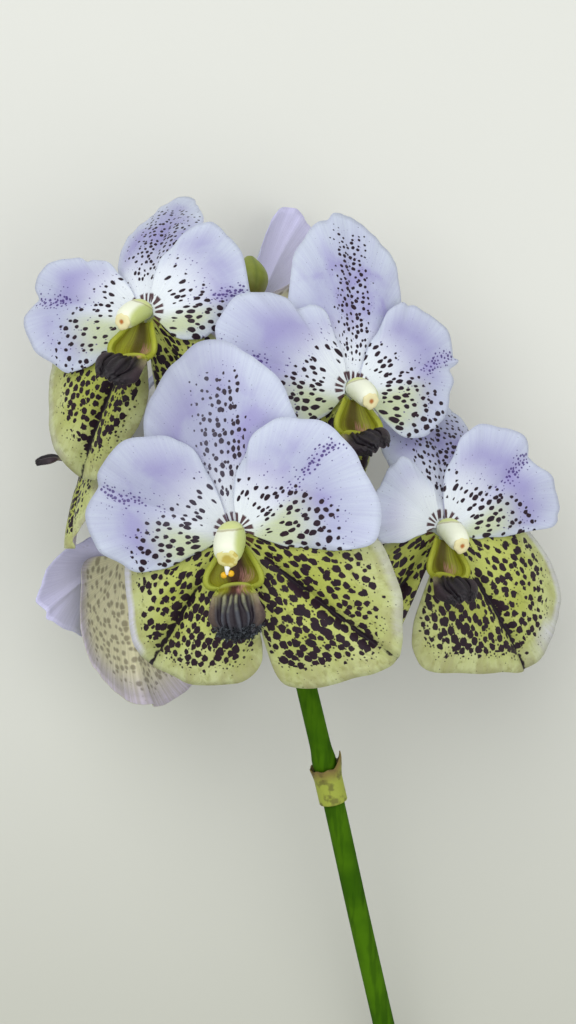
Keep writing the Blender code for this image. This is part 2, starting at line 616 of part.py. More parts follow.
def bloom_bodies(bloom):
    """Vertices and faces of a bloom's pieces, in its own frame."""
    steps_along, steps_round = bloom["grid"]
    along = np.linspace(0.0, 1.0, steps_along + 1)[:, None] ** CLAW_CROWD
    turn = OUTLINE_END * signed_power(np.linspace(-1, 1, steps_round + 1), TIP_CROWD)[None, :]
    for piece, node in NODE_NAMES.items():
        shape = tepal_shape(bloom, piece)
        shape["level"] /= bloom["size"]
        half = BLADE / bloom["size"] / 2
        front = tepal_points(shape, along, turn, half)
        back = tepal_points(shape, along, turn, -half)
        kind = "spotted_green" if piece.endswith("lateral") else "lavender"
        yield node, blade(front, back), kind
    across = 9 if bloom["grid"] is FRONT_GRID else 7
    lip = turned(lip_grid(LIP_STEPS, across, bloom), bloom["lip_turn"])
    yield "lip", sheet(lip, LIP_WALL / bloom["size"]), "lip"
    points = smooth_route(COLUMN_ROUTE, COLUMN_RINGS)
    points[:, 2] += COLUMN_FOOT * (1 / bloom["size"] - 1)
    radii = smooth_route([(r, 0, 0) for r in COLUMN_RADII], COLUMN_RINGS)[:, 0] * bloom["slim"]
    yield "column", tube(points, radii, COLUMN_SIDES, flat_start=(0, 0, 1)), "column"


def build_bloom(name, bloom, surface):
    """All pieces of a bloom. One that rests is moved down to the surface."""
    frame = bloom_frame(bloom)
    bodies = list(bloom_bodies(bloom))
    place = np.array(bloom["at"], dtype=float)
    if bloom.get("rests"):
        lowest = min(to_world(vertices, frame, bloom["size"], place)[:, 2].min()
                     for _, (vertices, _), _ in bodies)
        place[2] += surface - lowest
    made = []
    for node, (vertices, faces), kind in bodies:
        world = to_world(vertices, frame, bloom["size"], place)
        made.append(add_object(name + "_" + node, world, faces, kind))
    made.append(build_pedicel(name, bloom, frame, place))
    return made


def centre_on_origin(pieces):
    """Parent all to one empty, so that the origin is under the middle."""
    corners = np.array([tuple(v.co) for piece in pieces for v in piece.data.vertices])
    low, high = corners.min(axis=0), corners.max(axis=0)
    spray = bpy.data.objects.new("spray", None)
    bpy.context.scene.collection.objects.link(spray)
    spray.location = (-(low[0] + high[0]) / 2, -(low[1] + high[1]) / 2, -low[2])
    for piece in pieces:
        piece.parent = spray
    bpy.context.view_layer.update()


def main():
    clear_scene()
    stem, surface = build_stem()
    pieces = [stem, build_sheath(), build_bud()]
    for name, bloom in BLOOMS.items():
        pieces += build_bloom(name, bloom, surface)
    centre_on_origin(pieces)


main()
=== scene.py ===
# %% [markdown]
# # A cut spray of a spotted blue vanda, lying on its back
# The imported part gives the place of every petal, lip and stalk as a plain
# solid. This lesson lays a finer piece over each of them: thin petals with
# waved rims, ridged lips, ribbed stalks, and the spots that make this orchid.
# All sizes are in millimetres until a mesh is made, and meshes are in metres.

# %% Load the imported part
import math

import bpy
import numpy as np
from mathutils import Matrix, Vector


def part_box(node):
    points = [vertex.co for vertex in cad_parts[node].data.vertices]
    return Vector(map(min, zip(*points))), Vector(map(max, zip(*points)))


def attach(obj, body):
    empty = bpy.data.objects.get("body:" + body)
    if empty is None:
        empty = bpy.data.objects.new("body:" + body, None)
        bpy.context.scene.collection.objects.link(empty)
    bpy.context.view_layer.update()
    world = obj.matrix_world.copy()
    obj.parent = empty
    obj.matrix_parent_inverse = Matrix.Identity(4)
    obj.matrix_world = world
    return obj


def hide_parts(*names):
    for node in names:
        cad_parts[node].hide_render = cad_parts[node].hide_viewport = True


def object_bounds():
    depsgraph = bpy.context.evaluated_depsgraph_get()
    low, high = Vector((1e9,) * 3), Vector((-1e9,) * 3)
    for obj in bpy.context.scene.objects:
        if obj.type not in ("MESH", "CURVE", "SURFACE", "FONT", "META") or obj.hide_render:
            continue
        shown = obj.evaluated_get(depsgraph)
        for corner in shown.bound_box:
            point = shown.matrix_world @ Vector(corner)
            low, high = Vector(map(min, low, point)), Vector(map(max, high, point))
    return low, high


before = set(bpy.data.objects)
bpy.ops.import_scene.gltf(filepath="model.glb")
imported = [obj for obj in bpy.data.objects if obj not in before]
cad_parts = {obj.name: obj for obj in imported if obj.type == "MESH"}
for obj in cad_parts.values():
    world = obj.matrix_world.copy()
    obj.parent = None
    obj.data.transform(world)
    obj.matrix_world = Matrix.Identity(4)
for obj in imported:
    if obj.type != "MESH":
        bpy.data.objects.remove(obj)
cad_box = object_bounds()
MM = 0.001
print(len(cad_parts), "nodes, box", [list(map(float, corner)) for corner in cad_box])

# %% [markdown]
# ## Small helpers
# Petals, lips and stalks all follow smooth paths. A path is a few named points
# joined by a smooth curve, so a bend is changed by moving one point. Rings of
# points round a path give stalks and columns, and two grids of points, one for
# each face, give petals.

# %% Smooth steps and paths


def smoothstep(value):
    part = np.clip(value, 0.0, 1.0)
    return part * part * (3.0 - 2.0 * part)


def rise(value, start, span):
    """0 up to the start, 1 from one span beyond it, smooth between them."""
    return smoothstep((value - start) / span)


def signed_power(value, power):
    return np.sign(value) * np.abs(value) ** power


def unit(vector):
    vector = np.asarray(vector, dtype=float)
    return vector / np.linalg.norm(vector)


def smooth_route(points, steps):
    """Points at equal steps of a smooth curve through the given points."""
    points = np.asarray(points, dtype=float)
    padded = np.vstack((2 * points[0] - points[1], points, 2 * points[-1] - points[-2]))
    spans = len(points) - 1
    result = []
    for share in np.linspace(0.0, spans, steps):
        span = min(int(share), spans - 1)
        u = share - span
        p0, p1, p2, p3 = padded[span:span + 4]
        result.append(0.5 * (2 * p1 + (p2 - p0) * u + (2 * p0 - 5 * p1 + 4 * p2 - p3) * u * u
                             + (3 * p1 - p0 - 3 * p2 + p3) * u ** 3))
    return np.array(result)


def smooth_numbers(numbers, steps):
    return smooth_route([(n, 0, 0) for n in numbers], steps)[:, 0]


def tangents(points):
    steps = np.gradient(points, axis=0)
    return steps / np.linalg.norm(steps, axis=1)[:, None]


# %% Rings round a path, and how they are closed


def tube_rings(points, radii, sides, flat_start=None, flat_end=None):
    """Rings of points round a path, as an array of rings by sides by 3."""
    along = tangents(points)
    if flat_start is not None:
        along[0] = unit(flat_start)
    if flat_end is not None:
        along[-1] = unit(flat_end)
    side = unit(np.cross(along[0], (0.31, 0.95, 0.05)))
    angles = 2 * np.pi * np.arange(sides) / sides
    rings = []
    for point, ahead, radius in zip(points, along, radii):
        side = unit(side - ahead * np.dot(side, ahead))
        up = np.cross(ahead, side)
        rings.append(point + radius * (np.cos(angles)[:, None] * side
                                       + np.sin(angles)[:, None] * up))
    return np.array(rings)


def closed_rings(rings):
    """Vertices and faces of a body with a fan of triangles at both ends."""
    count, sides = rings.shape[:2]
    vertices = np.vstack((rings.reshape(-1, 3), rings[0].mean(axis=0), rings[-1].mean(axis=0)))
    faces = []
    for ring in range(count - 1):
        for step in range(sides):
            a, b = ring * sides + step, ring * sides + (step + 1) % sides
            faces.append((a, b, b + sides, a + sides))
    end, first, last = (count - 1) * sides, count * sides, count * sides + 1
    for step in range(sides):
        after = (step + 1) % sides
        faces += [(first, after, step), (last, end + step, end + after)]
    return vertices, faces


def blade_faces(rows, columns):
    """Faces of a closed body between a front grid and a back grid."""
    index = np.arange(rows * columns).reshape(rows, columns)
    under = rows * columns
    a, b, c, d = (part.ravel() for part in (index[:-1, :-1], index[:-1, 1:],
                                            index[1:, 1:], index[1:, :-1]))
    front = np.column_stack((a, d, c, b))
    back = np.column_stack((a, b, c, d)) + under
    rim = np.concatenate((index[0], index[1:, -1], index[-1, -2::-1], index[-2:0:-1, 0]))
    after = np.roll(rim, -1)
    edge = np.column_stack((rim, after, under + after, under + rim))
    return np.vstack((front, back, edge)).tolist()


def ball(middle, radius, rings=14, sides=20, ahead=(0, 0, 1)):
    """Rings of a ball, with its poles left to the end fans."""
    lean = np.linspace(0.04, 0.96, rings) * math.pi
    points = np.array(middle) - np.outer(np.cos(lean) * radius, unit(ahead))
    return tube_rings(points, np.sin(lean) * radius, sides, ahead, ahead)


def joined(bodies):
    """Several closed bodies as one list of vertices and faces."""
    vertices, faces = [], []
    for body, body_faces in bodies:
        start = sum(len(v) for v in vertices)
        vertices.append(body)
        faces += [tuple(index + start for index in face) for face in body_faces]
    return np.vstack(vertices), faces


# %% Turn points into a mesh object


def make_piece(name, vertices, faces, finish, values=None):
    """A closed body from points in millimetres, with a vector value per point."""
    mesh = bpy.data.meshes.new(name)
    mesh.from_pydata([tuple(v) for v in np.asarray(vertices) * MM], [], faces)
    mesh.shade_smooth()
    for key, rows in (values or {}).items():
        layer = mesh.attributes.new(key, "FLOAT_VECTOR", "POINT")
        layer.data.foreach_set("vector", np.asarray(rows, dtype=np.float32).ravel())
    mesh.materials.append(finish)
    made = bpy.data.objects.new(name, mesh)
    bpy.context.scene.collection.objects.link(made)
    return made


def dress(piece, slot, *nodes):
    """The piece rides on the part's body and stands for the named nodes."""
    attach(piece, "root")
    if nodes:
        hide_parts(*nodes)
    return piece


# %% [markdown]
# ## Camera, floor and light
# The spray is looked at from straight above, as the picture shows its faces.
# The lens covers 351 mm of the floor along the picture's long side. The light
# is soft and comes from the upper left, with a bright even fill, so shadows
# are faint. The floor is a pale sheet with painted shading, darker towards the
# bottom of the view and lighter at the top.

# %% Where the spray lies
# The part's own drawing has its zero point elsewhere. The front bloom's column
# is drawn again as the part draws it, and its box gives the shift between them.
COLUMN_FOOT = 0.35
COLUMN_ROUTE = ((0, 0, COLUMN_FOOT), (0, 0, 1.7), (0, -0.5, 3.6),
                (0, -1.8, 6.0), (0, -3.6, 8.5), (0, -5.4, 10.4), (0, -6.4, 11.4))
COLUMN_RADII = (3.6, 3.9, 4.5, 4.8, 4.7, 4.1, 2.6)
SOLID_COLUMN_MESH = (7, 8)
FRONT_FOOT = (-16.3, -6.3, 111.0)


def bloom_frame(bloom):
    """Columns are the bloom's right, its dorsal direction and its facing."""
    facing = unit(bloom["faces"])
    up = math.radians(bloom["up"])
    dorsal = np.array((math.cos(up), math.sin(up), 0.0))
    dorsal = unit(dorsal - facing * np.dot(dorsal, facing))
    return np.column_stack((np.cross(dorsal, facing), dorsal, facing))


def to_world(points, bloom):
    return (points * bloom["size"]) @ bloom["frame"].T + bloom["place"]


def column_path(bloom, rings):
    points = smooth_route(COLUMN_ROUTE, rings)
    points[:, 2] += COLUMN_FOOT * (1 / bloom["size"] - 1)
    return points, smooth_numbers(COLUMN_RADII, rings) * bloom["slim"]


def find_place(name, bloom):
    """Where a bloom's foot is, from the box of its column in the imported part."""
    count, sides = SOLID_COLUMN_MESH
    points, radii = column_path(bloom, count)
    rings = tube_rings(points, radii, sides, flat_start=(0, 0, 1))
    vertices = np.vstack((rings.reshape(-1, 3), points[0], points[-1]))
    low = to_world(vertices, dict(bloom, place=np.zeros(3))).min(axis=0)
    return np.array(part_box(name + "_column")[0]) / MM - low


front = dict(faces=(-0.2, -0.08, 0.97), up=95, size=1.0, slim=1.0)
front["frame"] = bloom_frame(front)
SHIFT = find_place("front", front) - np.array(FRONT_FOOT)
print("shift of the drawing", SHIFT.round(3))

# %% Camera
EYE_HEIGHT = 900.0
PICTURE_HEIGHT = 351.086
SENSOR = 36.0
lens = bpy.data.cameras.new("camera")
lens.sensor_fit, lens.sensor_height, lens.clip_start = "VERTICAL", SENSOR, 0.01
lens.lens = SENSOR * EYE_HEIGHT / PICTURE_HEIGHT
camera = bpy.data.objects.new("camera", lens)
camera.location = (SHIFT + (0, 0, EYE_HEIGHT)) * MM
bpy.context.scene.collection.objects.link(camera)
bpy.context.scene.camera = camera
print("camera at", tuple(round(c, 4) for c in camera.location))

# %% A short way to write nodes and materials


def shade(red, green, blue):
    """A colour as a paint maker's 0 to 255 values, for a shader."""
    part = np.array((red, green, blue)) / 255.0
    linear = np.where(part <= 0.04045, part / 12.92, ((part + 0.055) / 1.055) ** 2.4)
    return (*[float(c) for c in linear], 1.0)


class Nodes:
    """A node tree that is written as a row of short calls."""

    def __init__(self, tree):
        self.tree = tree

    def put(self, socket, value):
        if isinstance(value, bpy.types.NodeSocket):
            self.tree.links.new(value, socket)
        else:
            socket.default_value = value

    def node(self, kind, inputs=(), **settings):
        made = self.tree.nodes.new(kind)
        for key, value in settings.items():
            setattr(made, key, value)
        for key, value in dict(inputs).items():
            self.put(made.inputs[key], value)
        return made.outputs

    def math(self, operation, a, b=0.0, c=0.0):
        return self.node("ShaderNodeMath", {0: a, 1: b, 2: c}, operation=operation)[0]

    def times(self, a, b):
        return self.math("MULTIPLY", a, b)

    def vector(self, operation, *inputs):
        return self.node("ShaderNodeVectorMath", dict(inputs), operation=operation)[0]

    def split(self, vector):
        return self.node("ShaderNodeSeparateXYZ", {0: vector})


class Finish(Nodes):
    """A material that is written as sums, mixes and patterns."""

    def __init__(self, name, **constants):
        self.material = bpy.data.materials.new(name)
        self.material.use_nodes = True
        super().__init__(self.material.node_tree)
        self.shader = self.tree.nodes["Principled BSDF"]
        for key, value in constants.items():
            self.shader.inputs[key.replace("_", " ")].default_value = value

    def ramp(self, value, low, high):
        """0 below low, 1 above high, smooth between them."""
        return self.node("ShaderNodeMapRange", {"Value": value, "From Min": low, "From Max": high},
                         interpolation_type="SMOOTHSTEP")["Result"]

    def mix(self, share, a, b):
        return self.node("ShaderNodeMix", {0: share, 6: a, 7: b}, data_type="RGBA")[2]

    def tint(self, colour, share, most, paint):
        """Paint laid over a colour, as strong as the share times the most."""
        return self.mix(self.times(share, most), colour, paint)

    def value(self, name):
        """The vector that the mesh carries under a name, and its three numbers."""
        found = self.node("ShaderNodeAttribute", attribute_name=name)["Vector"]
        return found, self.split(found)

    def place(self):
        return self.node("ShaderNodeTexCoord")["Object"]

    def noise(self, where, scale, detail=3.0, distortion=0.0):
        return self.node("ShaderNodeTexNoise", {"Vector": where, "Scale": scale, "Detail": detail,
                                                "Distortion": distortion})["Fac"]

    def bump(self, height, strength, distance):
        normal = self.node("ShaderNodeBump", {"Height": height, "Strength": strength,
                                              "Distance": distance})["Normal"]
        self.put(self.shader.inputs["Normal"], normal)

    def finish(self, colour, roughness):
        self.put(self.shader.inputs["Base Color"], colour)
        self.put(self.shader.inputs["Roughness"], roughness)
        return self.material


# %% Floor
FLOOR_SIZE, FLOOR_LEVEL = 6.0, -0.0005
paper = Finish("floor_paper")
place = paper.place()
# Painted shading: the paper is darker towards the bottom of the view and lighter at the top.
painted_falloff = paper.ramp(paper.split(place)["Y"], -0.22, 0.12)
colour = paper.mix(painted_falloff, shade(166, 167, 153), shade(212, 213, 206))
colour = paper.tint(colour, paper.noise(place, 3.0, 5.0), 0.3, shade(206, 208, 200))
floor_material = paper.finish(colour, 0.9)
half = FLOOR_SIZE / 2
floor_mesh = bpy.data.meshes.new("floor")
corners = [(x * half, y * half, FLOOR_LEVEL) for x, y in ((-1, -1), (1, -1), (1, 1), (-1, 1))]
floor_mesh.from_pydata(corners, [], [(0, 1, 2, 3)])
floor_mesh.materials.append(floor_material)
floor = bpy.data.objects.new("floor", floor_mesh)
bpy.context.scene.collection.objects.link(floor)
print("floor", FLOOR_SIZE, "m wide")

# %% Light
LAMPS_AIM_AT = 0.08


def soft_light(name, place, size, watts, colour=(1, 1, 1)):
    """A large square lamp that points at the spray."""
    data = bpy.data.lights.new(name, "AREA")
    data.size, data.energy, data.color = size, watts, colour
    lamp = bpy.data.objects.new(name, data)
    lamp.location = place
    direction = camera.location.copy()
    direction.z = LAMPS_AIM_AT
    lamp.rotation_euler = (direction - lamp.location).to_track_quat("-Z", "Y").to_euler()
    bpy.context.scene.collection.objects.link(lamp)
    return lamp


soft_light("key", (-0.6, 0.8, 1.7), 2.0, 23)
soft_light("fill", (1.0, -0.4, 1.6), 1.6, 10)
world = bpy.data.worlds.new("room")
world.use_nodes = True
sky = world.node_tree.nodes["Background"].inputs
sky["Color"].default_value = (0.96, 0.97, 0.98, 1.0)
sky["Strength"].default_value = 0.68
bpy.context.scene.world = world
bpy.context.scene.view_settings.view_transform = "Standard"
print(len(bpy.data.lights), "lamps and a bright room")

# %% [markdown]
# ## The shape of one sepal or petal
# A vanda's bloom has five flat organs: a dorsal sepal at the top, two petals,
# and two wide lateral sepals below. Each is a blade on a narrow claw. Its
# margin is a rounded outline, and its veins fan out from the claw, so a point
# on it is named by how far along a vein it is, and which vein it is on. That
# gives an even mesh that can carry fine waves near the rim.

# %% Shapes that all blooms share
SEPAL_LEVEL = -1.5
PETAL_LEVEL = -0.4
CLAW_START, CLAW_END, CLAW_RISE = 2.6, 3.2, 6.0
OUTLINE_END = 2.76
CLEAR, HELD = 0.35, 5
DORSAL = dict(length=57, left=22.5, right=22.5, eggs=(0.0, 0.0), squares=(2.05, 2.05),
              claw=2.5, notch=0.0, lobe=2.6, pitch=-3, arch=-10,
              bulge=1.2, droop=1.6, wave=0.5, waves=5, ruffle=0.4, phase=0.4,
              level=SEPAL_LEVEL, midline=None)
PETAL = dict(length=45, left=20, right=22, eggs=(0.24, 0.24), squares=(2.15, 2.15),
             claw=2.3, notch=2.6, lobe=0.0, pitch=7, arch=-14,
             bulge=1.1, droop=1.8, wave=0.8, waves=4, ruffle=0.5, phase=1.3,
             level=PETAL_LEVEL, midline=None)
LATERAL = dict(length=54, left=22, right=27, eggs=(0.2, -0.05), squares=(2.5, 2.5),
               claw=2.0, notch=-1.5, lobe=0.0, pitch=-6, arch=-8,
               bulge=2.6, droop=3.2, wave=0.7, waves=4, ruffle=0.4, phase=2.2,
               level=SEPAL_LEVEL, midline=-90)

# %% The margin and the way the veins fan out
NOTCH_SPAN, LOBE_SPAN, CALM_SPAN = 0.17, 0.36, 0.9


def outline(shape, turn):
    """Margin in the organ's own plane: x along its midrib."""
    power = 2.0 / np.where(turn > 0, shape["squares"][0], shape["squares"][1])
    along = signed_power(np.cos(turn), power)
    aside = signed_power(np.sin(turn), power)
    half_length = (shape["length"] - CLAW_END) / 2
    width = np.where(turn > 0, shape["left"], shape["right"])
    egg = np.where(turn > 0, shape["eggs"][0], shape["eggs"][1])
    x = CLAW_END + half_length * (1 + along)
    y = width * aside * (1 + egg * along)
    x = x - shape["notch"] * np.exp(-(turn / NOTCH_SPAN) ** 2)
    x = x + shape["lobe"] * np.exp(-(turn / LOBE_SPAN) ** 4)
    uneven = shape["ruffle"] * (np.sin(5 * turn + shape["phase"])
                                + 0.6 * np.sin(11 * turn + 2 * shape["phase"]))
    uneven = uneven * smoothstep((OUTLINE_END - np.abs(turn)) / CALM_SPAN)
    for where, depth, span in shape.get("dents", ()):
        uneven = uneven - depth * np.exp(-((turn - where) / span) ** 2)
    return x + uneven * np.cos(turn), y + uneven * np.sin(turn)


def midrib(shape):
    """The midrib's bend in small steps: flat x, lean, bent x and z."""
    steps = np.linspace(0.0, shape["length"] * 1.15, 60)
    lean = np.radians(shape["pitch"] + shape["arch"] * steps / shape["length"])
    lean = lean * rise(steps, CLAW_START, CLAW_RISE)
    rib_x = np.concatenate(([0.0], np.cumsum(np.cos(lean[:-1]) * steps[1])))
    rib_z = np.concatenate(([0.0], np.cumsum(np.sin(lean[:-1]) * steps[1])))
    return steps, lean, rib_x, rib_z


def room_to_midline(shape, x):
    apart = math.radians(shape["heading"] - shape["midline"])
    return np.maximum(x * math.tan(min(abs(apart), 1.3)) - CLEAR / math.cos(apart), 0.4)


def flat_shape(shape, along, turn):
    """Places in the plane of the organ, laid out flat."""
    share = turn / OUTLINE_END
    edge_x, edge_y = outline(shape, turn)
    ends = 0.5 * np.abs(outline(shape, np.array((OUTLINE_END, -OUTLINE_END)))[1])
    claw = np.minimum(shape["claw"], np.where(turn > 0, ends[0], ends[1]))
    if shape["midline"] is not None:
        inner = turn * (shape["midline"] - shape["heading"]) > 0
        steps, _, rib_x, _ = midrib(shape)
        room = room_to_midline(shape, np.interp(edge_x, steps, rib_x))
        full = np.abs(edge_y) / room
        held = np.sign(edge_y) * room * full / (1 + full ** HELD) ** (1 / HELD)
        edge_y = np.where(inner, held, edge_y)
        claw = np.where(inner, np.minimum(claw, 0.8 * room_to_midline(shape, CLAW_START)), claw)
    start_y = share * claw
    middle_x = CLAW_START + (edge_x - CLAW_START) * 0.45
    middle_y = start_y + (0.12 + 0.33 * share ** 2) * (edge_y - start_y)
    keep, bend, reach = (1 - along) ** 2, 2 * along * (1 - along), along ** 2
    x = keep * CLAW_START + bend * middle_x + reach * edge_x
    return x, keep * start_y + bend * middle_y + reach * edge_y


# %% Relief: swelling halves, a turned margin, a fold and fine ripples
FINE_RIPPLE = 0.22
GROOVE_WIDTH = 1.7


def relief(shape, x, y, along, turn):
    width = np.where(y > 0, shape["left"], shape["right"])
    across = np.clip(np.abs(y) / width, 0.0, 1.0)
    outward = rise(x, CLAW_RISE * 0.5, 0.45 * shape["length"])
    swell = shape["bulge"] * np.sin(math.pi * across ** 0.8) * outward
    back = shape["droop"] * along ** 5 * rise(x, 4.0, 14.0)
    ripple = shape["wave"] * along ** 3 * np.sin(shape["waves"] * turn + shape["phase"])
    fine = FINE_RIPPLE * along ** 6 * (np.sin(13 * turn + 3 * shape["phase"])
                                       + 0.7 * np.sin(23 * turn + 5 * shape["phase"]))
    groove = shape.get("groove", 0.15) * np.exp(-(y / GROOVE_WIDTH) ** 2) * outward
    return swell - back + (ripple + fine) * rise(x, 8.0, 16.0) - groove


def organ_points(shape, along, turn, shift):
    """Surface of an organ in its bloom's frame, shifted off its middle."""
    x, y = flat_shape(shape, along, turn)
    steps, lean, rib_x, rib_z = midrib(shape)
    here_x, here_z = np.interp(x, steps, rib_x), np.interp(x, steps, rib_z)
    tilt = np.interp(x, steps, lean)
    height = relief(shape, x, y, along, turn) + shift
    u = here_x - height * np.sin(tilt)
    w = here_z + height * np.cos(tilt) + shape["level"]
    heading = math.radians(shape["heading"])
    return np.stack((u * math.cos(heading) - y * math.sin(heading),
                     u * math.sin(heading) + y * math.cos(heading), w), axis=-1)


# %% [markdown]
# ## The seven blooms
# Every bloom has its own facing and size, and organs that differ a little in
# length, width and heading. These are the same values as in the solid part, so
# each fine organ lies where its solid is.

# %% The blooms' own shapes
# Only the looks read band, grain, large, small, green, deep, the painted shade (its amount and
# side), lilac, pale_rim, bare_tip, full_length and dents. The mesh is the rows and columns of
# points that an organ gets. All other values are the solid part's own.
FRONT_MESH = (36, 96)
REAR_MESH = (24, 64)
BLOOMS = {
    "front": dict(
        faces=(-0.2, -0.08, 0.97), up=95, size=1.0, stem_at=0.655, mesh=FRONT_MESH, midline=-83,
        hang=22, lip_turn=0, slim=1.0, cup=1.0, tongue=(1, 0, 0),
        # The front dorsal sepal and left petal are greyed on one side: painted shade.
        dorsal=dict(heading=92, length=56.4, left=24.7, right=23.5, eggs=(0.05, -0.24),
                    squares=(2.2, 2.3), band=7.8, grain=1.15, painted_shade=(0.3, 90)),
        left_petal=dict(length=46.9, left=20.7, right=21.6, pitch=9, heading=157,
                        eggs=(0.31, 0.19), squares=(1.77, 1.7), notch=1.4,
                        dents=((1.1, 0.5, 0.2),), painted_shade=(0.18, -60)),
        right_petal=dict(heading=35, length=44.8, left=18.3, right=26.8, pitch=9,
                         eggs=(0.15, 0.45), squares=(1.8, 1.9), notch=1.2, claw=1.3,
                         dents=((-0.3, 0.5, 0.1),)),
        left_lateral=dict(heading=-131, length=54.3, left=34.2, right=25.3, pitch=-9,
                          eggs=(-0.2, -0.46), squares=(1.7, 1.7), pale_rim=1.0),
        right_lateral=dict(heading=-46, length=62.4, left=26.5, right=40, pitch=-9,
                           eggs=(-0.34, -0.46), squares=(2.1, 1.8), pale_rim=0.35)),
    "upper_left": dict(
        faces=(-0.36, 0.2, 0.9), up=73, size=1.0, stem_at=0.80, mesh=FRONT_MESH, midline=-74,
        hang=-20, lip_turn=15, slim=0.8, cup=0.88, tongue=(0.85, -18, -10),
        dorsal=dict(heading=110, length=55.5, left=14.4, right=11.7, pitch=-19, arch=-30,
                    squares=(2.3, 1.8), lobe=5, band=10, grain=1.35, large=0.8),
        left_petal=dict(heading=-173, length=44.6, left=21.8, right=15.6, pitch=4,
                        eggs=(0.04, 0.16), squares=(1.75, 1.8), claw=1.6,
                        dents=((-1.45, 1.3, 0.1), (-0.15, 1.2, 0.12)), large=0.7),
        right_petal=dict(heading=33, length=34.6, left=23.4, right=12.4, pitch=-8, arch=-26,
                         eggs=(0.3, -0.5), squares=(2.47, 1.7), notch=1.2),
        left_lateral=dict(heading=-104, length=58.4, left=14.2, right=25.8, pitch=-13,
                          eggs=(-0.24, -0.16), squares=(2.8, 1.7), grain=1.15, bare_tip=0.12),
        right_lateral=dict(heading=-44, length=42, left=17, right=22, pitch=-34, pale_rim=1.0,
                           grain=1.1)),
    "upper_right": dict(
        faces=(0.34, 0.2, 0.9), up=96, size=1.0, stem_at=0.74, mesh=FRONT_MESH, midline=-110,
        hang=-32, lip_turn=-14, slim=0.8, cup=0.85, tongue=(0.8, 24, 12),
        dorsal=dict(heading=76, length=62.2, left=20.7, right=18.5, pitch=-8, eggs=(-0.14, -0.09),
                    squares=(2.7, 2.35), band=6.0, grain=1.35, full_length=True,
                    dents=((0.3, 1.6, 0.09),)),
        left_petal=dict(heading=159, length=49, left=22, right=23.7, pitch=6, arch=-6,
                        eggs=(0.24, 0.08), dents=((-1.72, 2.6, 0.09), (-2.05, -2.6, 0.2)),
                        deep=0.6),
        right_petal=dict(heading=13, length=42.5, left=20, right=20.2, pitch=3, arch=-18,
                         eggs=(0.45, -0.5), squares=(1.95, 1.7), claw=1.3,
                         dents=((1.05, 1.2, 0.08), (-0.5, 2.2, 0.12)), deep=1.0),
        left_lateral=dict(heading=-138, length=42, left=22, right=18, pitch=-20),
        right_lateral=dict(heading=-82, length=36, left=6, right=12, pitch=-38, pale_rim=1.0)),
    "right": dict(
        faces=(0.4, 0.12, 0.9), up=88, size=1.0, stem_at=0.62, mesh=FRONT_MESH, midline=-108,
        hang=-26, lip_turn=-9, slim=0.8, cup=0.78, tongue=(0.8, 8, 14),
        dorsal=dict(heading=80, length=58, left=20, right=15, pitch=-18, arch=-26, band=12,
                    grain=1.2),
        left_petal=dict(heading=148, length=27, left=15, right=11.5, pitch=10, arch=0,
                        eggs=(0.35, 0.35), squares=(1.9, 2.2), notch=0.8, claw=1.2, large=0.0,
                        small=0.0, green=0.0),
        right_petal=dict(heading=37, length=43.8, left=18.7, right=18.2, eggs=(0.19, 0.5),
                         squares=(1.95, 2.97), dents=((0.0, 1.6, 0.12),), deep=1.0),
        left_lateral=dict(heading=-124, length=50, left=20, right=15, pitch=-18),
        right_lateral=dict(heading=-49, length=57.3, left=27.5, right=32.1, pitch=-9,
                           eggs=(-0.04, -0.5), squares=(2.9, 1.7), pale_rim=0.7, lilac=1.0)),
    "low_left": dict(
        faces=(-0.72, -0.2, -0.66), up=142, size=0.92, stem_at=0.62, mesh=REAR_MESH, midline=-78,
        hang=0, lip_turn=0, slim=0.8, cup=0.85, tongue=(1, 0, 0),
        dorsal=dict(length=26, left=9, right=9, pitch=-8),
        right_petal=dict(heading=10, length=48.9, left=13, right=22.1, eggs=(-0.08, -0.45),
                         squares=(2.6, 1.9), large=0.3),
        left_petal=dict(heading=180, length=26, left=16, right=17, pitch=2),
        left_lateral=dict(heading=-114, length=52, pitch=-16),
        right_lateral=dict(heading=-40, length=60.8, left=26.8, right=33.1, pitch=-10,
                           eggs=(0.08, 0.06), squares=(3.0, 1.7))),
    "back_top": dict(
        faces=(-0.78, 0.1, -0.62), up=150, size=0.86, stem_at=0.79, mesh=REAR_MESH, midline=-90,
        hang=0, lip_turn=0, slim=0.8, cup=0.85, tongue=(1, 0, 0),
        dorsal=dict(length=18, left=9, right=9, pitch=-12),
        left_petal=dict(heading=175, length=57, left=18.2, right=13.5, pitch=11, eggs=(0.4, 0.35),
                        squares=(2.7, 1.95), notch=0.8, claw=1.2, large=0.25),
        right_petal=dict(heading=14, length=40, pitch=11),
        left_lateral=dict(pitch=-14),
        right_lateral=dict(pitch=-14)),
    "back_left": dict(
        faces=(-0.83, 0.55, 0.05), up=56, size=0.74, stem_at=0.75, mesh=REAR_MESH, midline=-90,
        hang=-25, lip_turn=0, slim=0.8, cup=0.85, tongue=(1, 0, 0),
        left_petal=dict(pitch=14),
        right_petal=dict(pitch=11),
        left_lateral=dict(heading=-145, length=40, left=18, right=20, pitch=-4),
        right_lateral=dict(heading=-54, length=57, left=20, right=18, pitch=-10)),
}
HEADINGS = {"dorsal": 90, "left_petal": 163, "right_petal": 20,
            "left_lateral": -129, "right_lateral": -51}
KINDS = {"dorsal": DORSAL, "left_petal": PETAL, "right_petal": PETAL,
         "left_lateral": LATERAL, "right_lateral": LATERAL}
NODE_NAMES = {"dorsal": "dorsal_sepal", "left_petal": "left_petal",
              "right_petal": "right_petal", "left_lateral": "left_lateral_sepal",
              "right_lateral": "right_lateral_sepal"}


